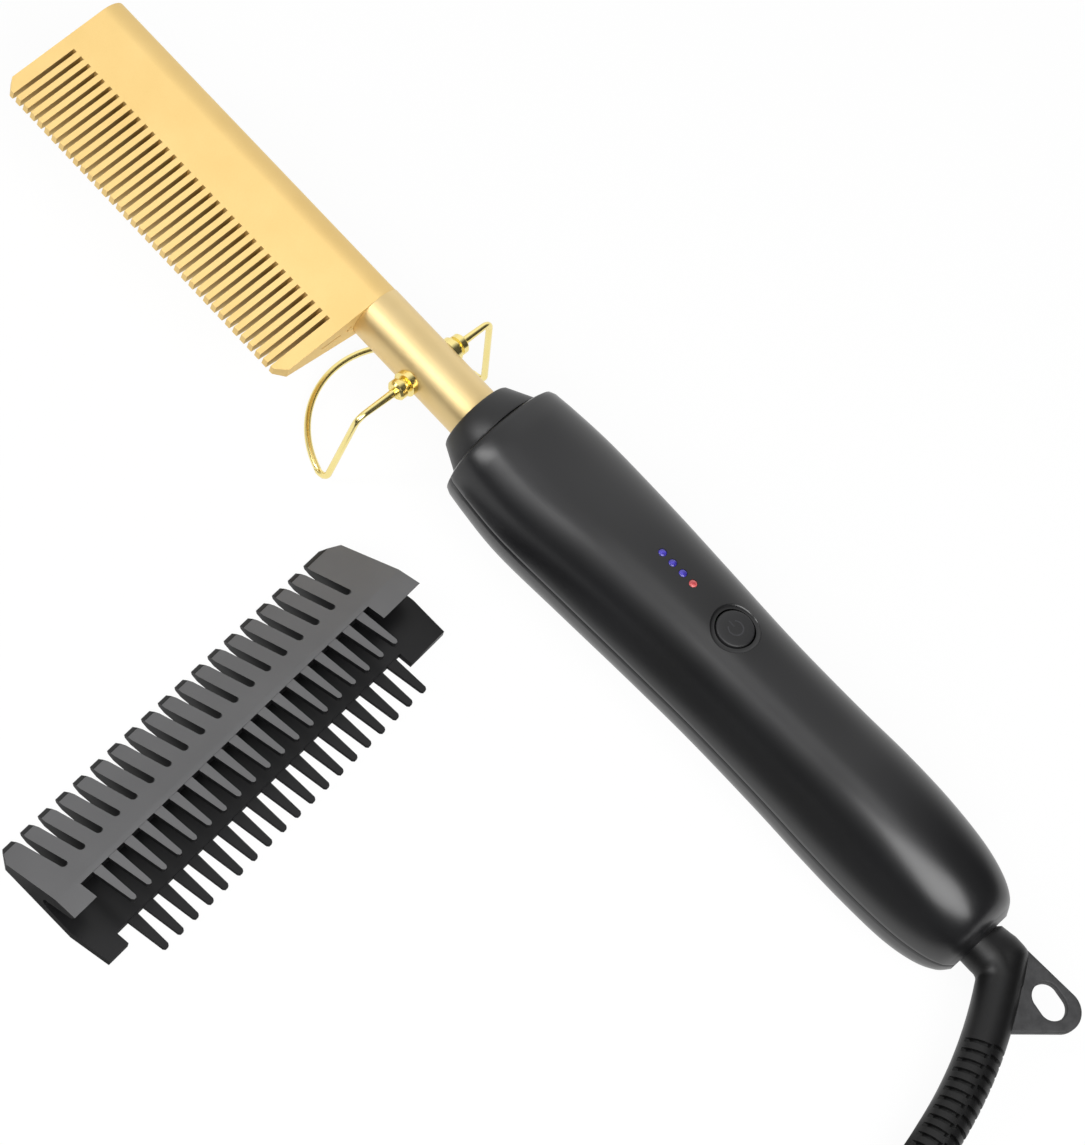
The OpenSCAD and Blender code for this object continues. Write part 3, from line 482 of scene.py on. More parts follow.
def close_finish(tree, shader):
    """Joins the shader to the material's output."""
    add_node(tree, "OutputMaterial", {"Surface": shader.outputs[0]})


def per_metre(size_mm):
    """Scale of a pattern whose features are this many millimetres apart."""
    return 1 / (size_mm * MM)


def moulded_plastic(colour, second, mottle_mm, roughness, spread, grain_mm, grain_h, ior=1.49, *, name):
    """Plastic from a steel mould: faint clouds, a fine even texture, and patches smoothed by handling."""
    material, tree, place = start_finish(name)
    cloud = add_node(tree, "TexNoise", {
        "Vector": place, "Scale": per_metre(mottle_mm), "Detail": 4.0, "Roughness": 0.55})
    tint = add_node(tree, "ValToRGB", {0: cloud.outputs["Fac"]},
                    stops=[(0.35, linear(colour)), (0.7, linear(second))])
    rub = add_node(tree, "TexNoise", {
        "Vector": place, "Scale": per_metre(mottle_mm * 0.6), "Detail": 5.0, "Distortion": 0.4})
    gloss = add_node(tree, "MapRange", {
        0: rub.outputs["Fac"], 1: 0.3, 2: 0.7, 3: roughness - spread, 4: roughness + spread})
    grain = add_node(tree, "TexNoise", {"Vector": place, "Scale": per_metre(grain_mm), "Detail": 2.0})
    bump = add_node(tree, "Bump", {
        "Strength": 0.5, "Distance": grain_h * MM, "Height": grain.outputs["Fac"]})
    shader = add_node(tree, "BsdfPrincipled", {
        "Base Color": tint.outputs[0], "Roughness": gloss.outputs[0], "IOR": ior, "Normal": bump.outputs[0]})
    close_finish(tree, shader)
    return material


def satin_metal(colour, second, roughness, spread, grain_mm, grain_h, mottle_mm=14.0, stretch=(1, 1, 1), *,
                name):
    """Metal with a blasted or drawn surface under its colour; stretch draws the grain out along one way."""
    material, tree, place = start_finish(name)
    drawn = add_node(tree, "Mapping", {"Vector": place, "Scale": stretch})
    cloud = add_node(tree, "TexNoise", {"Vector": place, "Scale": per_metre(mottle_mm), "Detail": 3.0})
    tint = add_node(tree, "ValToRGB", {0: cloud.outputs["Fac"]},
                    stops=[(0.3, linear(colour)), (0.72, linear(second))])
    grain = add_node(tree, "TexNoise", {
        "Vector": drawn.outputs[0], "Scale": per_metre(grain_mm), "Detail": 3.0})
    gloss = add_node(tree, "MapRange", {
        0: grain.outputs["Fac"], 1: 0.3, 2: 0.7, 3: roughness - spread, 4: roughness + spread})
    bump = add_node(tree, "Bump", {
        "Strength": 0.5, "Distance": grain_h * MM, "Height": grain.outputs["Fac"]})
    shader = add_node(tree, "BsdfPrincipled", {
        "Base Color": tint.outputs[0], "Metallic": 1.0, "Roughness": gloss.outputs[0],
        "Normal": bump.outputs[0]})
    close_finish(tree, shader)
    return material


def lit_lens(colour, glow, strength, *, name):
    """Clear polycarbonate light pipe over a lit diode: its tint swirls a little and glows by itself."""
    material, tree, place = start_finish(name)
    swirl = add_node(tree, "TexNoise", {"Vector": place, "Scale": per_metre(0.8), "Detail": 2.0})
    tint = add_node(tree, "ValToRGB", {0: swirl.outputs["Fac"]},
                    stops=[(0.35, linear(colour)), (0.65, linear(glow))])
    shader = add_node(tree, "BsdfPrincipled", {
        "Base Color": tint.outputs[0], "Roughness": 0.25, "IOR": 1.58,
        "Emission Color": tint.outputs[0], "Emission Strength": strength})
    close_finish(tree, shader)
    return material


FINISHES = {}


def finish(key):
    """Makes each finish once, when a piece first asks for it."""
    if key not in FINISHES:
        FINISHES[key] = FINISH_MAKERS[key](name=key)
    return FINISHES[key]


# A metal has two colours, its roughness and how far that varies, then its grain's width and height in
# millimetres. A plastic has the width of its clouds, in millimetres, after the colours
FINISH_MAKERS = {
    # Die-cast aluminium, bead blasted and anodised gold: even, soft sheen with a hair of grain
    "gold_anodised_aluminium": partial(satin_metal, "#EDD294", "#E8CC8C", 0.68, 0.03, 0.25, 0.004),
    # The same metal, duller and darker on the slot walls as painted shade, so the slots read as thin dark
    # lines
    "sawn_gold_aluminium": partial(satin_metal, "#D2B87A", "#C6AC6E", 0.55, 0.04, 0.25, 0.006),
    # Steel tube, brushed and plated gold: a longer, tighter highlight than the blade has
    "gold_plated_steel_tube": partial(satin_metal, "#E9D09A", "#E3C88F", 0.42, 0.02, 0.3, 0.002,
                                      stretch=(0.15, 1, 1)),
    # Drawn brass wire, bright dipped: nearly a mirror
    "polished_brass": partial(satin_metal, "#F9E9A2", "#F3DE8E", 0.22, 0.03, 0.5, 0.001, stretch=(0.3, 1, 1)),
    # ABS with a light satin polish on the mould: deep black with broad, soft highlights
    "satin_black_abs": partial(moulded_plastic, "#101011", "#131315", 30, 0.31, 0.02, 0.35, 0.003, ior=1.54),
    # Glass-filled nylon, moulded: duller than the handle
    "black_nylon": partial(moulded_plastic, "#131314", "#171718", 20, 0.42, 0.03, 0.3, 0.004, ior=1.5),
    # ABS from a spark-eroded mould: a flat black that sets the button off from the handle
    "button_abs": partial(moulded_plastic, "#161617", "#1B1B1D", 8, 0.5, 0.04, 0.25, 0.008),
    # Grey ink, pad printed: a sign only a little paler than the button
    "button_print": partial(moulded_plastic, "#2A2A2C", "#303033", 3, 0.45, 0.03, 0.3, 0.002),
    # Soft PVC, moulded over the cord: a dark, slightly oily skin
    "soft_pvc": partial(moulded_plastic, "#090909", "#0D0D0E", 12, 0.4, 0.04, 0.3, 0.008, ior=1.4),
    # The same compound where the mould is spark eroded: paler, with a dry grain
    "spark_textured_pvc": partial(moulded_plastic, "#2A2A2B", "#383839", 2, 0.62, 0.06, 0.25, 0.012,
                                  ior=1.45),
    # PVC cord sheath, extruded: black with a dull, even shine
    "cord_pvc": partial(moulded_plastic, "#131314", "#18181A", 16, 0.48, 0.04, 0.4, 0.008, ior=1.5),
    # Painted highlight on the comb's upward top faces: grey with a low sheen over the black polypropylene
    "grey_polypropylene": partial(moulded_plastic, "#5A5A5B", "#606061", 20, 0.45, 0.03, 0.3, 0.005),
    # The comb's own colour on its other faces: black polypropylene, with the mould's smooth skin
    "black_polypropylene": partial(moulded_plastic, "#0E0E0F", "#121213", 20, 0.38, 0.04, 0.3, 0.004,
                                   ior=1.4),
    # Tinted polycarbonate, moulded and polished: small lit dots, violet blue and dull red
    "lens_blue": partial(lit_lens, "#28207A", "#463DAA", 0.16),
    "lens_red": partial(lit_lens, "#983038", "#C65E5C", 0.24),
    # Brass, bright nickel plated: a cool mirror on the plug's pins and the small screws
    "nickel_plated_brass": partial(satin_metal, "#C9C8C4", "#BDBCB8", 0.18, 0.04, 0.3, 0.002),
    # Steel screws, blackened in a hot bath: dark grey with a weak metal shine
    "black_oxide_steel": partial(satin_metal, "#55565A", "#47484B", 0.38, 0.06, 0.3, 0.006),
    # Steatite, pressed and fired without a glaze: chalky cream
    "fired_ceramic": partial(moulded_plastic, "#E9E4DA", "#DED7CA", 4, 0.7, 0.05, 0.2, 0.01, ior=1.6),
    # Silicone rubber, extruded over the heater's leads: matte brick red
    "silicone_red": partial(moulded_plastic, "#A52A24", "#93231F", 5, 0.5, 0.05, 0.2, 0.004, ior=1.41),
    # Braided glass sleeve, dipped in varnish: brown and glossy
    "varnished_glass": partial(moulded_plastic, "#3A2A1C", "#4A3826", 2, 0.25, 0.04, 0.3, 0.002),
    # Nylon without a dye, moulded: milky ivory
    "natural_nylon": partial(moulded_plastic, "#DAD4C3", "#CFC8B4", 10, 0.5, 0.05, 0.3, 0.006, ior=1.53),
    # Glass cloth in epoxy under a green mask: its weave shows as small cloudy patches
    "board_glass_epoxy": partial(moulded_plastic, "#1F5A34", "#256A3E", 1.2, 0.35, 0.06, 0.6, 0.01),
    # Filled epoxy, transfer moulded round the chips: dark grey with a dry grain
    "part_epoxy": partial(moulded_plastic, "#1B1C1F", "#25262A", 2, 0.55, 0.05, 0.12, 0.006, ior=1.55),
    # Polyester capacitor case, dipped: mustard yellow with rounded shine
    "capacitor_yellow": partial(moulded_plastic, "#B9A13F", "#A89138", 3, 0.4, 0.05, 0.3, 0.004),
    # Clear epoxy, cast round the diodes: pale yellow and glossy
    "diode_resin": partial(moulded_plastic, "#E8E6C8", "#DAD7B4", 0.6, 0.3, 0.05, 0.1, 0.002),
    # PVC wire cover, extruded: plain blue
    "lead_blue": partial(moulded_plastic, "#2E4F8F", "#27457E", 5, 0.5, 0.05, 0.2, 0.004),
    # Copper graphite, pressed and sintered: dull brown with a fine speckle
    "brush_graphite": partial(satin_metal, "#7D6A4B", "#6B5A40", 0.5, 0.06, 0.15, 0.01, mottle_mm=3),
    # Brass rings, turned: warm yellow with a tight shine
    "ring_brass": partial(satin_metal, "#C8984A", "#B98A40", 0.22, 0.04, 0.3, 0.002, mottle_mm=5),
}


def dress(node, key):
    """Gives a solid that stays in view its finish."""
    mesh = frame["nodes"][node].data
    mesh.materials.clear()
    mesh.materials.append(finish(key))


# Settings that a user would change


class HotCombMetal(bpy.types.PropertyGroup):
    blade_edge: FloatProperty(name="Blade edge radius", description="Rounding of the blade's edges",
                              default=0.12 * MM, min=0.02 * MM, max=0.3 * MM, precision=5, unit="LENGTH")
    wire_sides: IntProperty(name="Wire sides", description="Faces round the stand's wire", default=20, min=8,
                            max=48)


class HotCombHandle(bpy.types.PropertyGroup):
    seam_gap: FloatProperty(name="Parting line", description="Gap between the two shells", default=0.14 * MM,
                            min=0.05 * MM, max=0.6 * MM, precision=5, unit="LENGTH")
    rim_round: FloatProperty(name="Rim radius", description="Rounding of the shells at the parting line",
                             default=0.15 * MM, min=0.1 * MM, max=0.8 * MM, precision=5, unit="LENGTH")
    around: IntProperty(name="Steps round a shell", description="Faces round half of the handle", default=72,
                        min=24, max=160)


class HotCombCord(bpy.types.PropertyGroup):
    slot_depth: FloatProperty(name="Relief slot depth", description="Depth of the slots round the sleeve",
                              default=1.0 * MM, min=0.3 * MM, max=1.6 * MM, precision=5, unit="LENGTH")
    sides: IntProperty(name="Cord sides", description="Faces round the cord", default=20, min=8, max=40)


class HotCombClip(bpy.types.PropertyGroup):
    edge: FloatProperty(name="Comb edge radius", description="Rounding on the edges of the clip-on comb",
                        default=0.25 * MM, min=0.05 * MM, max=0.4 * MM, precision=5, unit="LENGTH")


class HotCombStage(bpy.types.PropertyGroup):
    floor_colour: FloatVectorProperty(name="Floor colour", description="Colour of the plain floor",
                                      subtype="COLOR", size=3, default=linear("#F4F4F4"), min=0, max=1)
    key_power: FloatProperty(name="Key light", description="Power of the large softbox, in watts",
                             default=23.0, min=0, max=200)
    side_power: FloatProperty(name="Strip light", description="Power of the narrow softbox, in watts",
                              default=6.4, min=0, max=200)
    top_power: FloatProperty(name="Top light", description="Power of the softbox overhead, in watts",
                             default=0.7, min=0, max=200)
    world_light: FloatProperty(name="Room light", description="Strength of the light from all round",
                               default=0.1, min=0, max=2)


# Operators


class HOTCOMB_OT_camera(bpy.types.Operator):
    """Places the camera at the picture's viewing angle"""
    bl_idname = "hotcomb.camera"
    bl_label = "Camera"

    def execute(self, context):
        data = bpy.data.cameras.new("picture_camera")
        data.lens = LENS_MM
        data.sensor_width = SENSOR_MM
        data.clip_start = 0.01
        data.clip_end = 20
        camera = bpy.data.objects.new("picture_camera", data)
        context.scene.collection.objects.link(camera)
        axes = [(TOOL.to_3x3() @ v).normalized() for v in (CAMERA_RIGHT, CAMERA_UP, CAMERA_BACK)]
        spin = Matrix(axes).transposed()
        camera.matrix_world = Matrix.Translation(TOOL @ CAMERA_AT) @ spin.to_4x4()
        context.scene.camera = camera
        return {"FINISHED"}


def relief_point(x, off):
    """A point of the strain relief's plane, which dips a little to its side, in the tool's millimetres."""
    down = math.radians(ELBOW_DOWN)
    return Vector((x, -off * math.cos(down), -off * math.sin(down)))


def sleeve_at(s):
    """Point and heading of the curved sleeve at a distance along it, in the relief's plane."""
    lean = math.radians(ELBOW_ANGLE)
    start = Vector((REAR_X + ELBOW_OUT, 0)) + (ELBOW_TANGENT + 1) * Vector((math.cos(lean), math.sin(lean)))
    centre = start + SLEEVE_CURVE_R * Vector((-math.sin(lean), math.cos(lean)))
    angle = lean - math.pi / 2 + s / SLEEVE_CURVE_R
    return centre + SLEEVE_CURVE_R * Vector((math.cos(angle), math.sin(angle))), angle + math.pi / 2


def coil_point(turn):
    """The coil winds in on the table, climbs one layer where it turns back, and winds out again."""
    angle = math.pi + 2 * math.pi * turn
    past_middle = turn - COIL_TURNS / 2
    radius = COIL_INNER_R + COIL_PITCH * abs(past_middle)
    rise = COIL_PITCH * min(max(past_middle / CLIMB_TURNS + 0.5, 0), 1)
    return Vector((COIL_MID[0] + radius * math.cos(angle), COIL_MID[1] + radius * math.sin(angle),
                   COIL_LIFT + CORD_D / 2 + rise))


def cord_route():
    """The cord's line in metres, from the relief to the coil and on to the plug, and its starting point."""
    end, heading = sleeve_at(SLEEVE_LEN)
    mouth = TOOL @ relief_point(*end) / MM
    back = TOOL @ relief_point(*(end - CORD_SOCKET * Vector((math.cos(heading), math.sin(heading))))) / MM
    ahead = (mouth - back).normalized()

    def aside(y):
        return Vector((0, y, 0))

    turns = [coil_point(i / COIL_STEPS) for i in range(int(COIL_TURNS * COIL_STEPS) + 1)]
    coil_in, coil_out = turns[0] + aside(CORD_D), turns[-1] + aside(CORD_D)
    lead = [back, back + ahead * CORD_SOCKET, back + ahead * (CORD_SOCKET + 14), coil_in + aside(12),
            coil_in + aside(6), coil_in + aside(3), coil_in]
    boot = Vector((PLUG_MID[0], PLUG_MID[1] - 12, PLUG_H / 2))
    tail = [coil_out, coil_out + aside(3), coil_out + aside(6), boot - aside(12), boot - aside(7), boot]
    route = spline(lead, 6)[:-1] + [coil_in] + turns + spline(tail, 6)
    return [p * MM for p in route], back * MM


class HOTCOMB_OT_cord(bpy.types.Operator):
    """Makes the mains cord with its coil, tie and plug"""
    bl_idname = "hotcomb.cord"
    bl_label = "Cord and plug"

    def execute(self, context):
        look = context.scene.hotcomb_cord
        route, start = cord_route()
        verts, faces = sweep(route, [CORD_D / 2 * MM] * len(route), look.sides)
        cord = new_piece("mains_cord", verts, faces, finish("cord_pvc"), "cord_swivel",
                         ("cord_lead", "cord_coil", "cord_tail"), 60)
        tie = rounded_copy("cord_tie", "coil_tie", 0.15, 3, finish("soft_pvc"), "cord_swivel")
        plug = rounded_copy("plug_body", "plug_moulding", 0.8, 4, finish("soft_pvc"), "cord_swivel", 25)
        dress("plug_pins", "nickel_plated_brass")
        return {"FINISHED"}


class HOTCOMB_OT_blade(bpy.types.Operator):
    """Makes the gold comb blade with its teeth rounded over and painted shade on its slot walls"""
    bl_idname = "hotcomb.blade"
    bl_label = "Comb blade"

    def execute(self, context):
        edge = context.scene.hotcomb_metal.blade_edge / MM
        blade = rounded_copy("comb_blade", "gold_blade", edge, 3, finish("gold_anodised_aluminium"), "handle")
        # Painted shade: the slot walls get a darker, duller gold that stands in for the shade inside the
        # narrow slots
        blade.data.materials.append(finish("sawn_gold_aluminium"))
        ends = [vert.co.dot(AXIS_X) for vert in blade.data.vertices]
        first, last = min(ends) + END_TOOTH * MM, max(ends) - END_TOOTH * MM
        for face in blade.data.polygons:
            slot_wall = abs(face.normal.dot(AXIS_X)) > SLOT_WALL_ALONG
            if slot_wall and first < face.center.dot(AXIS_X) < last:
                face.material_index = 1
        return {"FINISHED"}


def stand_line():
    """Centre line of the stand's wire in the tool's millimetres, the same as in the source of the solids."""
    tops = [Vector((0, s * STAND_HALF_W - STAND_SHIFT, 0)) for s in (-1, 1)]
    feet = []
    for s in (-1, 1):
        lean = STAND_LEAN + s * STAND_TWIST
        drop = STAND_DROP - lean * REST_GUESS
        feet.append(Vector((lean, s * (STAND_HALF_W + STAND_FLARE) - STAND_SHIFT, -drop)))
    middle = (feet[0] + feet[1]) / 2
    across = (feet[1] - feet[0]).normalized()
    half = (feet[1] - feet[0]).length / 2
    forward = Vector((-1, 0, 0))
    forward = (forward - across * forward.dot(across)).normalized()
    radius = (half * half + BOW_REACH * BOW_REACH) / (2 * BOW_REACH)
    sweep_half = 2 * math.atan(BOW_REACH / half)
    count = 48
    turns = [(2 * k / count - 1) * sweep_half for k in range(count + 1)]
    bow = [middle + forward * radius * (math.cos(turn) - math.cos(sweep_half))
           + across * radius * math.sin(turn) for turn in turns]
    points = [Vector((0, -PIN_START, 0)), tops[0], *bow, tops[1], Vector((0, PIN_START, 0))]
    bends = [TOP_BEND, FOOT_BEND] + [0] * (count - 1) + [FOOT_BEND, TOP_BEND]
    return [p + Vector((STAND_X, 0, 0)) for p in bent(points, bends, 6)]


class HOTCOMB_OT_neck(bpy.types.Operator):
    """Gives the neck tube and the turned bosses their finishes, and makes the bent wire stand"""
    bl_idname = "hotcomb.neck"
    bl_label = "Neck and stand"

    def execute(self, context):
        look = context.scene.hotcomb_metal
        dress("neck_tube", "gold_plated_steel_tube")
        dress("stand_bosses", "polished_brass")
        centres = stand_line()
        radii = []
        for i, centre in enumerate(centres):
            in_boss = i < 3 or i > len(centres) - 4
            thicker = max(0.0, min(1.0, (PIN_END - abs(centre.y)) / PIN_TAPER)) if in_boss else 0.0
            radii.append((WIRE_R + PIN_GROWTH * thicker) * MM)
        verts, faces = sweep([TOOL @ p for p in centres], radii, look.wire_sides)
        new_piece("bent_wire_stand", verts, faces, finish("polished_brass"), "stand", ("stand_wire",), 60)
        return {"FINISHED"}


def handle_rows(steps=8):
    """Stations of the handle, smoothed as in the source of the solids but closer together."""
    return spline([Vector(station) for station in STATIONS], steps, STRAIGHT_ROWS)


def row_at(rows, x):
    """The handle's station at a place along it, between the two nearest rows."""
    i = min(max(bisect.bisect(rows, x, key=lambda row: row[0]), 1), len(rows) - 1)
    a, b = rows[i - 1], rows[i]
    return a + (b - a) * ((x - a[0]) / (b[0] - a[0]))


def half_section(row, side, around, gap, rim):
    """Points round one shell at a station, with a small rounded rim on each side of the parting line."""
    power = 2 / SQUARENESS
    height = row[2] if side > 0 else row[3]
    lift = gap / 2
    points = []
    for k in range(around + 1):
        angle = math.pi * k / around
        y = row[1] * math.copysign(abs(math.cos(angle)) ** power, math.cos(angle))
        z = height * abs(math.sin(angle)) ** power
        if z < lift + rim:
            t = max(z - lift, 0) / rim
            y -= math.copysign(rim * (1 - math.sqrt(max(0, 1 - (1 - t) ** 2))), y)
            z = max(z, lift)
        points.append((y, side * z))
    return points


def shell_solid(side, name, look, rows):
    """Outer skin and inner skin of one shell, joined at the rim and at both ends."""
    around = look.around
    gap, rim = look.seam_gap / MM, look.rim_round / MM
    front, back = rows[0][0], rows[-1][0]

    def arc(x, r):
        angles = [math.pi * k / around for k in range(around + 1)]
        return [(x, r * math.cos(a), side * max(r * math.sin(a), gap / 2)) for a in angles]

    def skin(row, rim_r):
        return [(row[0], *p) for p in half_section(row, side, around, gap, rim_r)]

    outer = [skin(row, rim) for row in rows]
    thin, square_rim = Vector((0, WALL, WALL, WALL)), 0.01
    inner = [skin(row - thin, square_rim) for row in rows if front + FRONT_WALL < row[0] < back - REAR_WALL]
    # the bores at the two ends stop a little short of the inner skin
    short = 0.1
    rings = [arc(front + FRONT_WALL - short, COLLAR_SPIGOT_R), arc(front, COLLAR_SPIGOT_R), *outer,
             arc(back, RELIEF_R + BARREL_PLAY), arc(back - REAR_WALL + short, RELIEF_R + BARREL_PLAY),
             *reversed(inner)]
    width, count = around + 1, len(rings)
    verts = [TOOL @ Vector(p) for ring in rings for p in ring]
    faces = []
    for i in range(count):
        near, far = i * width, (i + 1) % count * width
        faces += [(near + k, far + k, far + k + 1, near + k + 1) for k in range(around)]
    faces += [[i * width + k for i in range(count)] for k in (0, around)]
    return solid_object(name, verts, faces)


def upright(x, y, z):
    """Stands a turned solid up along the tool's z at a place."""
    return TOOL @ Matrix.Translation((x, y, z)) @ Matrix.Rotation(-math.pi / 2, 4, "Y")


def drill(name, x, y, z, radius):
    """A round cutter with a little play, which starts at a place and runs up."""
    profile = [(0, 0), (0, radius + PLAY), (DRILL_LEN, radius + PLAY), (DRILL_LEN, 0)]
    return solid_object(name, *turned(profile, upright(x, y, z), 32))


def height_at(row, y):
    """Height of the handle's top over a point across it."""
    return row[2] * (1 - (abs(y) / row[1]) ** SQUARENESS) ** (1 / SQUARENESS)


def button_cutter(rows):
    """The button's hole, with a shallow ring round it that follows the handle's skin and slopes out."""
    around = 96
    profile = [(0, -HOLE_DEPTH), (HOLE_R, -HOLE_DEPTH), (HOLE_R, -GROOVE_DEPTH),
               (GROOVE_R - 0.5, -GROOVE_DEPTH), (GROOVE_R - 0.2, -GROOVE_DEPTH * 0.7), (GROOVE_R, -0.02),
               (GROOVE_R + 0.6, 2.0), (0, 2.0)]
    verts, faces = [], []
    for r, rise in profile:
        for k in range(around if r else 1):
            angle = 2 * math.pi * k / around
            x, y = BUTTON_X + r * math.cos(angle), r * math.sin(angle)
            verts.append(TOOL @ Vector((x, y, height_at(row_at(rows, x), y) + rise)))
    last = len(verts) - 1
    for k in range(around):
        after = (k + 1) % around
        faces.append((0, 1 + k, 1 + after))
        faces.append((last, last - around + after, last - around + k))
        for near in range(1, last - around, around):
            far = near + around
            faces.append((near + k, near + after, far + after, far + k))
    return solid_object("button_hole", verts, faces)


def skin_shading(piece, side, look):
    """Gives the shell's outer skin the normals of its smooth form, so that the cuts don't dent its sheen."""
    rows = handle_rows(24)
    # how far before and behind a point its slope is taken, and how far a point or a face may be off the form
    reach, off_skin, least_facing = 1.5, 0.012, 0.9
    depth = 2 if side > 0 else 3

    def level(row, y, z):
        return (abs(y) / row[1]) ** SQUARENESS + (abs(z) / row[depth]) ** SQUARENESS

    mesh = piece.data
    back = TOOL.inverted()
    spin = TOOL.to_3x3().normalized()
    known = {}
    lip = (look.seam_gap / 2 + look.rim_round) / MM
    for vert in mesh.vertices:
        x, y, z = back @ vert.co
        if not FRONT_X + 2.5 < x < REAR_X - 1 or side * z < lip:
            continue
        row = row_at(rows, x)
        if abs(level(row, y, z) - 1) > off_skin:
            continue
        slope = (level(row_at(rows, x + reach), y, z) - level(row_at(rows, x - reach), y, z)) / (2 * reach)
        across = SQUARENESS * abs(y) ** (SQUARENESS - 1) / row[1] ** SQUARENESS
        upward = SQUARENESS * abs(z) ** (SQUARENESS - 1) / row[depth] ** SQUARENESS
        known[vert.index] = (spin @ Vector((slope, math.copysign(across, y), side * upward))).normalized()
    normals = [corner.vector.copy() for corner in mesh.corner_normals]
    for face in mesh.polygons:
        if all(v in known for v in face.vertices) and face.normal.dot(known[face.vertices[0]]) > least_facing:
            for i, v in zip(face.loop_indices, face.vertices):
                normals[i] = known[v]
    mesh.normals_split_custom_set(normals)


class HOTCOMB_OT_handle(bpy.types.Operator):
    """Makes the two handle shells with the holes for button, lenses and screws, and the collar"""
    bl_idname = "hotcomb.handle"
    bl_label = "Handle"

    def execute(self, context):
        look = context.scene.hotcomb_handle
        rows = handle_rows()
        holes = [button_cutter(rows)] + [drill("lens_hole", x, 0, 4, LENS_R) for x in LENS_X]
        wells = [drill("screw_well", x, s * y, SCREW_WELL_Z, SCREW_HEAD_R)
                 for x, y in SCREW_PLACES for s in (-1, 1)]
        for side, name, node, cutters in ((1, "handle_upper_shell", "upper_shell", holes),
                                          (-1, "handle_lower_shell", "lower_shell", wells)):
            shell = shell_solid(side, name, look, rows)
            cut_out(shell, cutters)
            settle(shell, finish("satin_black_abs"), "handle", (node,), 32)
            skin_shading(shell, side, look)
        bore, spigot, small = TUBE_R + PLAY, COLLAR_SPIGOT_R - PLAY, COLLAR_SMALL_R
        end = FRONT_X + FRONT_WALL - 0.2
        profile = [(NECK_LEN + 0.1, bore), (NECK_LEN, TUBE_R + 0.2), (NECK_LEN, small - 0.9),
                   (NECK_LEN + 0.08, small - 0.55), (NECK_LEN + 0.3, small - 0.25), (NECK_LEN + 0.8, small),
                   (FRONT_X - 0.6, COLLAR_R - 0.05), (FRONT_X - 0.35, COLLAR_R - 0.1),
                   (FRONT_X - 0.25, COLLAR_R - 0.25), (FRONT_X - 0.2, spigot), (end, spigot), (end, bore),
                   (NECK_LEN + 0.1, bore)]
        verts, faces = turned(profile, TOOL, 96)
        new_piece("collar_ring", verts, faces, finish("black_nylon"), "handle", ("front_collar",), 40)
        dress("shell_screws", "black_oxide_steel")
        return {"FINISHED"}


def power_sign(z):
    """The plain sign for power, an open ring and a bar, as thin strips that lie on the cap at a height."""
    opening = SIGN_OPENING / 2
    turns = [math.radians(opening + (360 - SIGN_OPENING) * k / 40) for k in range(41)]
    strips = [[Vector((SIGN_R * math.cos(a), SIGN_R * math.sin(a), 0)) for a in turns],
              [Vector((x, 0, 0)) for x in SIGN_BAR]]
    verts, faces = [], []
    for line in strips:
        first, last = len(verts), len(line) - 1
        for i, p in enumerate(line):
            ahead = (line[min(i + 1, last)] - line[max(i - 1, 0)]).normalized()
            side = Vector((-ahead.y, ahead.x, 0)) * SIGN_HALF_W
            for q, depth in ((p + side, 0), (p - side, 0), (p - side, SIGN_T), (p + side, SIGN_T)):
                verts.append(TOOL @ Vector((BUTTON_X - q.x, q.y, z - SIGN_CROWN * q.length ** 2 - depth)))
        for i in range(last):
            for k in range(4):
                a, b = first + i * 4 + k, first + i * 4 + (k + 1) % 4
                faces.append((a, b, b + 4, a + 4))
        end = first + last * 4
        faces += [tuple(first + k for k in range(4)), tuple(end + k for k in reversed(range(4)))]
    return verts, faces


class HOTCOMB_OT_controls(bpy.types.Operator):
    """Makes the power button with its printed sign, and the indicator lenses"""
    bl_idname = "hotcomb.controls"
    bl_label = "Button and lights"

    def execute(self, context):
        rows = handle_rows()
        cap = row_at(rows, BUTTON_X)[2] - CAP_SUNK
        profile = [(cap - CAP_H, 0), (cap - CAP_H, CAP_R), (cap - 0.42, CAP_R), (cap - 0.2, CAP_R - 0.06),
                   (cap - 0.06, CAP_R - 0.2), (cap, CAP_R - 0.42), (cap + 0.08, CAP_R * 0.6),
                   (cap + 0.12, CAP_R * 0.3), (cap + 0.13, 0)]
        verts, faces = turned(profile, upright(BUTTON_X, 0, 0), 96)
        new_piece("button_cap", verts, faces, finish("button_abs"), "button", ("power_button",), 50)
        verts, faces = power_sign(cap + 0.135)
        new_piece("power_sign", verts, faces, finish("button_print"), "button", (), 40)
        for name, node, places in (("lens_blue", "blue_lenses", LENS_X[:3]),
                                   ("lens_red", "red_lens", LENS_X[3:])):
            verts, faces = [], []
            for x in places:
                high = row_at(rows, x)[2]
                profile = [(LENS_ROOT, 0), (LENS_ROOT, LENS_R), (high - 0.15, LENS_R),
                           (high + 0.02, LENS_R * 0.85), (high + 0.14, LENS_R * 0.5), (high + 0.18, 0)]
                lens_verts, lens_faces = turned(profile, upright(x, 0, 0), 32)
                faces += [tuple(i + len(verts) for i in face) for face in lens_faces]
                verts += lens_verts
            new_piece(name, verts, faces, finish(name), "handle", (node,), 60)
        return {"FINISHED"}


def hull_loop(circles, grow, count):
    """Outline round a set of circles, as one point for each direction."""
    loop = []
    for k in range(count):
        angle = 2 * math.pi * k / count
        d = Vector((math.cos(angle), math.sin(angle)))
        centre, radius = max(circles, key=lambda c: Vector(c[0]).dot(d) + c[1])
        loop.append(Vector(centre) + d * (radius + grow))
    return loop


def apart(angle, other):
    """Degrees between two directions."""
    return abs((angle - other + 180) % 360 - 180)


def heel(stretch, angle):
    """What the elbow's radius is multiplied by, at an angle round it in radians."""
    outward = max(0.0, -math.cos(angle - math.radians(INNER_SIDE)))
    return 1.0 + (stretch - 1.0) * outward ** HEEL_FALL


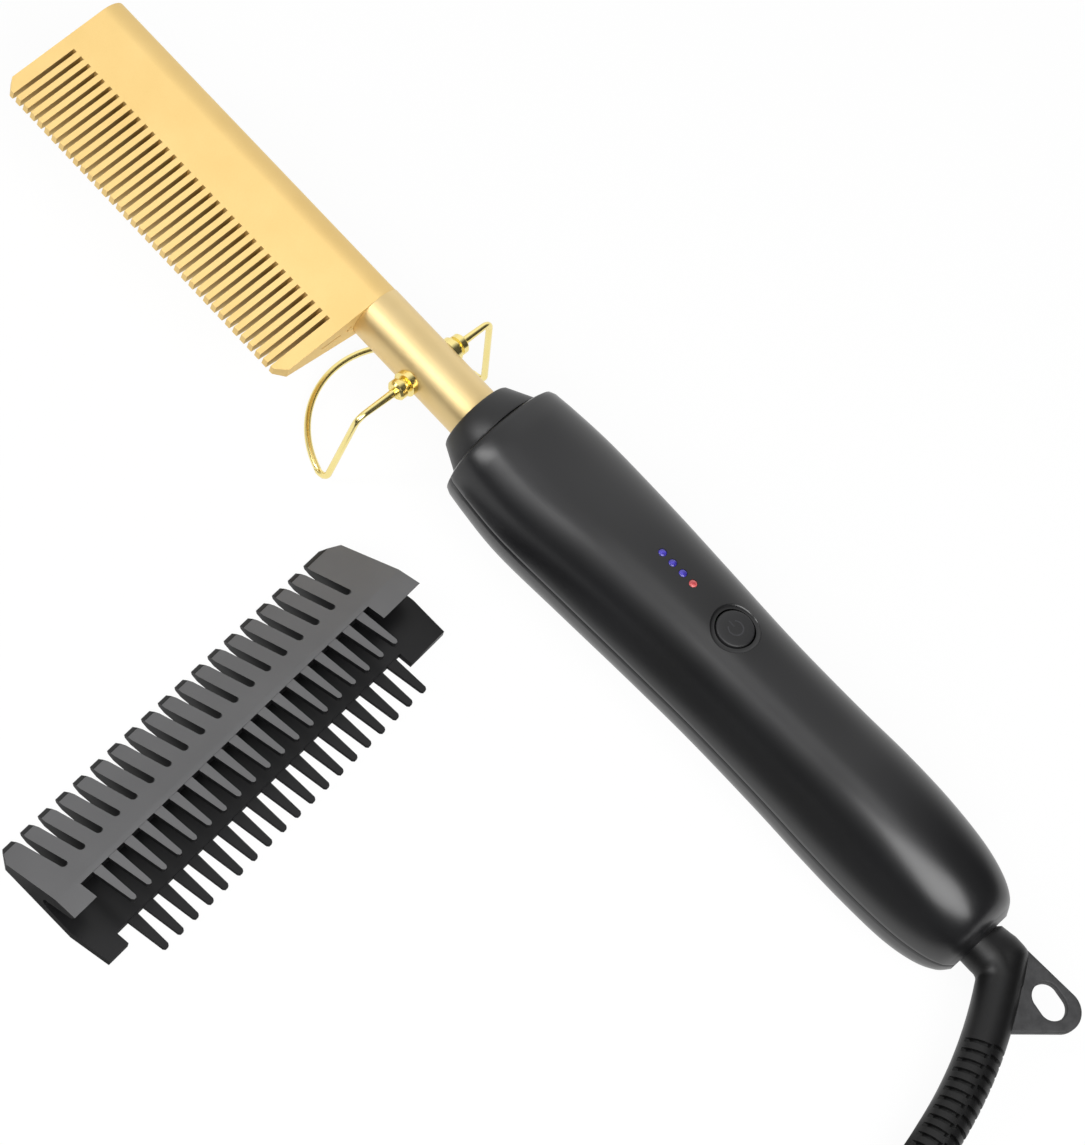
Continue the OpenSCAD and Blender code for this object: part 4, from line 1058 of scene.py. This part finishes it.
def slotted(s, radius, depth, angle):
    """What the sleeve's radius is multiplied by, at a distance along it and an angle round it in radians."""
    edge = SLOT_HALF_W + SLOT_EDGE
    if s < SMOOTH_LEN - 2 * edge - SLOT_SHIFT or s > SLEEVE_LEN - 1:
        return 1.0
    turn = math.degrees(angle)
    solid = min(apart(turn, INNER_SIDE) - INNER_SOLID, apart(turn, TOP_BRIDGE) - BRIDGE_HALF,
                apart(turn, 180 - TOP_BRIDGE) - BRIDGE_HALF)
    outer = apart(turn, INNER_SIDE + 180) < 90 + TOP_BRIDGE
    place = (s - SMOOTH_LEN + (SLOT_SHIFT if outer else 0)) / SLOT_PITCH
    if place < -0.4:
        return 1.0
    near = abs(place - round(place)) * SLOT_PITCH
    across = max(0.0, min(1.0, (edge - near) / SLOT_EDGE))
    return 1.0 - depth * across * max(0.0, min(1.0, solid / SLOT_RUN_OUT)) / radius


def elbow_rings():
    """Rings of the barrel and the elbow: centre in the relief's plane, radius, and what shapes it round."""
    bend_x = REAR_X + ELBOW_OUT - ELBOW_TANGENT
    lean = math.radians(ELBOW_ANGLE)
    rings = [(Vector((x, 0)), RELIEF_R, partial(heel, reach / RELIEF_R)) for x, reach in (
        (RELIEF_START, RELIEF_R), (REAR_X - 3, RELIEF_R), (REAR_X + 0.1, RELIEF_R),
        (REAR_X + 0.8, HEEL_R - 0.4), (bend_x - 0.3, HEEL_R))]
    steps = 12
    for k in range(1, steps + 1):
        a = lean * k / steps
        centre = Vector((bend_x + ELBOW_R * math.sin(a), ELBOW_R - ELBOW_R * math.cos(a)))
        radius = RELIEF_R + (SLEEVE_R - RELIEF_R) * k / steps
        # the heel fills the outside of the bend up to the straight edges on both sides of it
        before, behind = (ELBOW_R + HEEL_R) / math.cos(a), (ELBOW_R + SLEEVE_R) / math.cos(lean - a)
        corner = (before ** -HEEL_SHARP + behind ** -HEEL_SHARP) ** (-1 / HEEL_SHARP) * 1.02 - ELBOW_R
        rings.append((centre, radius, partial(heel, corner / radius if k < steps else 1.0)))
    return rings


def sleeve_rings(depth):
    """Rings of the slotted sleeve, with the same three values as the elbow's."""
    edge = SLOT_HALF_W + SLOT_EDGE
    stops = [2.0, 5.0, 8.0, 11.0]
    for k in range(SLOT_COUNT):
        s = SMOOTH_LEN + k * SLOT_PITCH
        stops += [s + d for d in (-edge - SLOT_SHIFT, -SLOT_HALF_W - SLOT_SHIFT, -edge, -SLOT_HALF_W,
                                  SLOT_HALF_W - SLOT_SHIFT, edge - SLOT_SHIFT, SLOT_HALF_W, edge, edge + 0.6)]
    stops = [s for s in stops if s < SLEEVE_LEN - 0.7] + [SLEEVE_LEN - d for d in (0.6, 0.2, 0.05, 0)]
    rings = []
    for s in stops:
        t = max(0, s - SLEEVE_LEN + TAPER_LEN) / TAPER_LEN
        lip = max(0, s - SLEEVE_LEN + END_ROUND) / END_ROUND
        radius = SLEEVE_R - (SLEEVE_R - RELIEF_END_R) * t - 0.5 * (1 - math.sqrt(max(0, 1 - lip * lip)))
        rings.append((sleeve_at(s)[0], radius, partial(slotted, s, radius, depth)))
    return rings


def tab_solid():
    """The hang tab with its slot, as loops that run up the rounded outside and down through the slot."""
    loops, half = 96, TAB_T / 2
    quarter = [math.radians(15 * k) for k in range(7)]
    layers = []
    for circles, out, up, turns in ((TAB_OUTLINE, -1, -1, quarter), (TAB_OUTLINE, -1, 1, quarter[::-1]),
                                    (TAB_SLOT, 1, 1, quarter), (TAB_SLOT, 1, -1, quarter[::-1])):
        layers += [(circles, out * TAB_ROUND * (1 - math.sin(a)), up * (half - TAB_ROUND * (1 - math.cos(a))))
                   for a in turns]
    down = math.radians(ELBOW_DOWN)
    thick = Vector((0, -math.sin(down), math.cos(down)))
    verts, faces = [], []
    for circles, grow, z in layers:
        verts += [TOOL @ (relief_point(*p) + thick * z) for p in hull_loop(circles, grow, loops)]
    for i in range(len(layers)):
        near, far = i * loops, (i + 1) % len(layers) * loops
        faces += [(near + k, near + (k + 1) % loops, far + (k + 1) % loops, far + k) for k in range(loops)]
    return verts, faces


class HOTCOMB_OT_relief(bpy.types.Operator):
    """Makes the strain relief: elbow, slotted sleeve and hang tab"""
    bl_idname = "hotcomb.relief"
    bl_label = "Strain relief"

    def execute(self, context):
        rings = elbow_rings() + sleeve_rings(context.scene.hotcomb_cord.slot_depth / MM)
        points = [TOOL @ relief_point(*centre) for centre, _, _ in rings]
        radii = [radius * MM for _, radius, _ in rings]
        verts, faces = sweep(points, radii, 96, lambda i, angle: rings[i][2](angle))
        first, tab_face = len(verts), len(faces)
        tab_verts, tab_faces = tab_solid()
        verts += tab_verts
        faces += [tuple(first + v for v in face) for face in tab_faces]
        relief = new_piece("cord_relief", verts, faces, finish("soft_pvc"), "cord_swivel",
                           ("strain_relief",), 50)
        relief.data.materials.append(finish("spark_textured_pvc"))
        for face in relief.data.polygons[tab_face:]:
            face.material_index = 1
        return {"FINISHED"}


class HOTCOMB_OT_clip(bpy.types.Operator):
    """Makes the loose clip-on comb with its moulded edges and a painted grey highlight on its top"""
    bl_idname = "hotcomb.clip"
    bl_label = "Clip-on comb"

    def execute(self, context):
        edge, base = context.scene.hotcomb_clip.edge / MM, finish("black_polypropylene")
        comb = rounded_copy("clip_on_comb", "loose_clip_comb", edge, 3, base, "clip_comb")
        # Painted highlight: upward top faces get a grey finish that stands in for the sheen the light gives
        # the black comb
        comb.data.materials.append(finish("grey_polypropylene"))
        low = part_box("clip_on_comb")[0][2]
        for face in comb.data.polygons:
            if face.normal.z > PAINTED_SHEEN_UP and face.center.z - low > PAINTED_SHEEN_ABOVE * MM:
                face.material_index = 1
        return {"FINISHED"}


# Finishes of the pieces inside the handle and the blade
INNER_FINISHES = {
    "neck_set_screw": "black_oxide_steel", "heater_rod": "fired_ceramic", "heater_leads": "silicone_red",
    "temperature_sensor": "varnished_glass", "tube_clamp": "natural_nylon",
    "circuit_board": "board_glass_epoxy", "board_screws": "nickel_plated_brass", "tact_switch": "part_epoxy",
    "indicator_leds": "diode_resin", "triac": "part_epoxy", "film_capacitor": "capacitor_yellow",
    "controller_chip": "part_epoxy", "thermal_fuse": "fired_ceramic", "swivel_socket": "natural_nylon",
    "contact_brushes": "brush_graphite", "supply_leads": "lead_blue", "swivel_barrel": "black_nylon",
    "slip_rings": "ring_brass"}


class HOTCOMB_OT_inside(bpy.types.Operator):
    """Gives the pieces inside the handle and the blade their finishes"""
    bl_idname = "hotcomb.inside"
    bl_label = "Inner pieces"

    def execute(self, context):
        for node, key in INNER_FINISHES.items():
            dress(node, key)
        return {"FINISHED"}


def toward(azimuth, from_top):
    """Direction with an azimuth and an angle down from straight above, in degrees."""
    a, b = math.radians(azimuth), math.radians(from_top)
    return Vector((math.sin(b) * math.cos(a), math.sin(b) * math.sin(a), math.cos(b)))


def soft_light(name, place, size, power):
    """A rectangular softbox that faces the object."""
    data = bpy.data.lights.new(name, "AREA")
    data.shape = "RECTANGLE"
    data.size, data.size_y = size
    data.energy = power
    lamp = bpy.data.objects.new(name, data)
    bpy.context.scene.collection.objects.link(lamp)
    direction = toward(*place).normalized()
    lamp.location = STAGE_MID + direction * LIGHT_DISTANCE
    lamp.rotation_euler = direction.to_track_quat("Z", "Y").to_euler()


def matte_white_floor(colour):
    """Painted floor, rolled on matte: it takes soft shadows, and looks plain white elsewhere."""
    material, tree, place = start_finish("matte_white_floor")
    rays = add_node(tree, "LightPath").outputs
    seen = add_node(tree, "Math", {0: rays["Is Camera Ray"], 1: rays["Is Glossy Ray"]},
                    operation="MAXIMUM")
    seen = add_node(tree, "Math", {0: seen.outputs[0], 1: rays["Is Transmission Ray"]},
                    operation="MAXIMUM")
    side = add_node(tree, "SeparateXYZ", {0: place})
    front = TOOL @ Vector((FRONT_X, 0, 0))
    beside = add_node(tree, "MapRange", {
        0: side.outputs["Y"], 1: front.y + CARD_FADE_Y[0], 2: front.y + CARD_FADE_Y[1], 3: 0.0, 4: 1.0})
    along = add_node(tree, "MapRange", {
        0: side.outputs["X"], 1: front.x + CARD_FADE_X[0], 2: front.x + CARD_FADE_X[1], 3: 0.0,
        4: CARD_DARKNESS})
    card = add_node(tree, "Math", {0: beside.outputs[0], 1: along.outputs[0]}, operation="MULTIPLY")
    card = add_node(tree, "Math", {0: card.outputs[0], 1: rays["Is Glossy Ray"]}, operation="MULTIPLY")
    bare = add_node(tree, "Math", {0: 1.0, 1: card.outputs[0]}, operation="SUBTRACT")
    share = add_node(tree, "Math", {0: seen.outputs[0], 1: FLOOR_WHITE}, operation="MULTIPLY")
    matte = add_node(tree, "BsdfDiffuse", {"Color": (*colour, 1)})
    white = add_node(tree, "Emission", {"Color": (1, 1, 1, 1), "Strength": bare.outputs[0]})
    close_finish(tree, add_node(tree, "MixShader", {
        0: share.outputs[0], 1: matte.outputs[0], 2: white.outputs[0]}))
    return material


def light_surround(strength):
    """White to the camera, a weak light on everything, and a wall and a flag in what glossy surfaces show."""
    world = bpy.data.worlds.new("white_surround")
    world.use_nodes = True
    tree = world.node_tree
    tree.nodes.clear()
    rays = add_node(tree, "LightPath").outputs
    way = add_node(tree, "TexCoord").outputs["Generated"]
    fades = []
    for place, cosines, strengths in (PALE_WALL, DARK_FLAG):
        near = add_node(tree, "VectorMath", {0: way, 1: toward(*place)}, operation="DOT_PRODUCT")
        fades.append(add_node(tree, "MapRange", {
            0: near.outputs["Value"], 1: cosines[0], 2: cosines[1], 3: strengths[0], 4: strengths[1]}))
    sheen = add_node(tree, "Math", {0: fades[0].outputs[0], 1: fades[1].outputs[0]},
                     operation="MULTIPLY").outputs[0]
    room, walls, backdrop = (
        add_node(tree, "Background", {"Color": (1, 1, 1, 1), "Strength": light}).outputs[0]
        for light in (strength, sheen, 1.0))
    mirrored = add_node(tree, "MixShader", {0: rays["Is Glossy Ray"], 1: room, 2: walls})
    seen = add_node(tree, "Math", {0: rays["Is Camera Ray"], 1: rays["Is Transmission Ray"]},
                    operation="MAXIMUM")
    mix = add_node(tree, "MixShader", {0: seen.outputs[0], 1: mirrored.outputs[0], 2: backdrop})
    add_node(tree, "OutputWorld", {"Surface": mix.outputs[0]})
    return world


class HOTCOMB_OT_stage(bpy.types.Operator):
    """Makes the plain floor, the white surround and the soft studio light"""
    bl_idname = "hotcomb.stage"
    bl_label = "Stage"

    def execute(self, context):
        look = context.scene.hotcomb_stage
        corners = [(-1, -1), (1, -1), (1, 1), (-1, 1)]
        mesh = bpy.data.meshes.new("plain_floor")
        mesh.from_pydata([(x * FLOOR_HALF, y * FLOOR_HALF, 0) for x, y in corners], [], [(0, 1, 2, 3)])
        mesh.materials.append(matte_white_floor(look.floor_colour))
        floor = bpy.data.objects.new("plain_floor", mesh)
        context.scene.collection.objects.link(floor)
        context.scene.world = light_surround(look.world_light)
        for name, (place, size, power) in SOFTBOXES.items():
            soft_light(name, place, size, getattr(look, power))
        context.scene.view_settings.view_transform = "Standard"
        return {"FINISHED"}


class HOTCOMB_PT_pieces(bpy.types.Panel):
    """Lists the pieces of the hot comb and their settings"""
    bl_idname = "HOTCOMB_PT_pieces"
    bl_label = "Hot comb"
    bl_space_type = "VIEW_3D"
    bl_region_type = "UI"
    bl_category = "Hot comb"

    def draw(self, context):
        for group in PROPERTY_GROUPS:
            box = self.layout.box()
            settings = getattr(context.scene, group)
            for key in settings.bl_rna.properties.keys():
                if key not in ("rna_type", "name"):
                    box.prop(settings, key)
        for operator in OPERATORS:
            self.layout.operator(operator.bl_idname)


PROPERTY_GROUPS = {
    "hotcomb_metal": HotCombMetal, "hotcomb_handle": HotCombHandle, "hotcomb_cord": HotCombCord,
    "hotcomb_clip": HotCombClip, "hotcomb_stage": HotCombStage}
OPERATORS = (HOTCOMB_OT_camera, HOTCOMB_OT_cord, HOTCOMB_OT_blade, HOTCOMB_OT_neck, HOTCOMB_OT_handle,
             HOTCOMB_OT_controls, HOTCOMB_OT_relief, HOTCOMB_OT_clip, HOTCOMB_OT_inside, HOTCOMB_OT_stage)


def register():
    for group in (*PROPERTY_GROUPS.values(), *OPERATORS, HOTCOMB_PT_pieces):
        bpy.utils.register_class(group)
    for name, group in PROPERTY_GROUPS.items():
        setattr(bpy.types.Scene, name, PointerProperty(type=group))


def unregister():
    for name in PROPERTY_GROUPS:
        delattr(bpy.types.Scene, name)
    for group in reversed((*PROPERTY_GROUPS.values(), *OPERATORS, HOTCOMB_PT_pieces)):
        bpy.utils.unregister_class(group)


def main():
    """Builds the whole scene."""
    register()
    for operator in OPERATORS:
        family, name = operator.bl_idname.split(".")
        getattr(getattr(bpy.ops, family), name)()


if __name__ == "__main__":
    main()
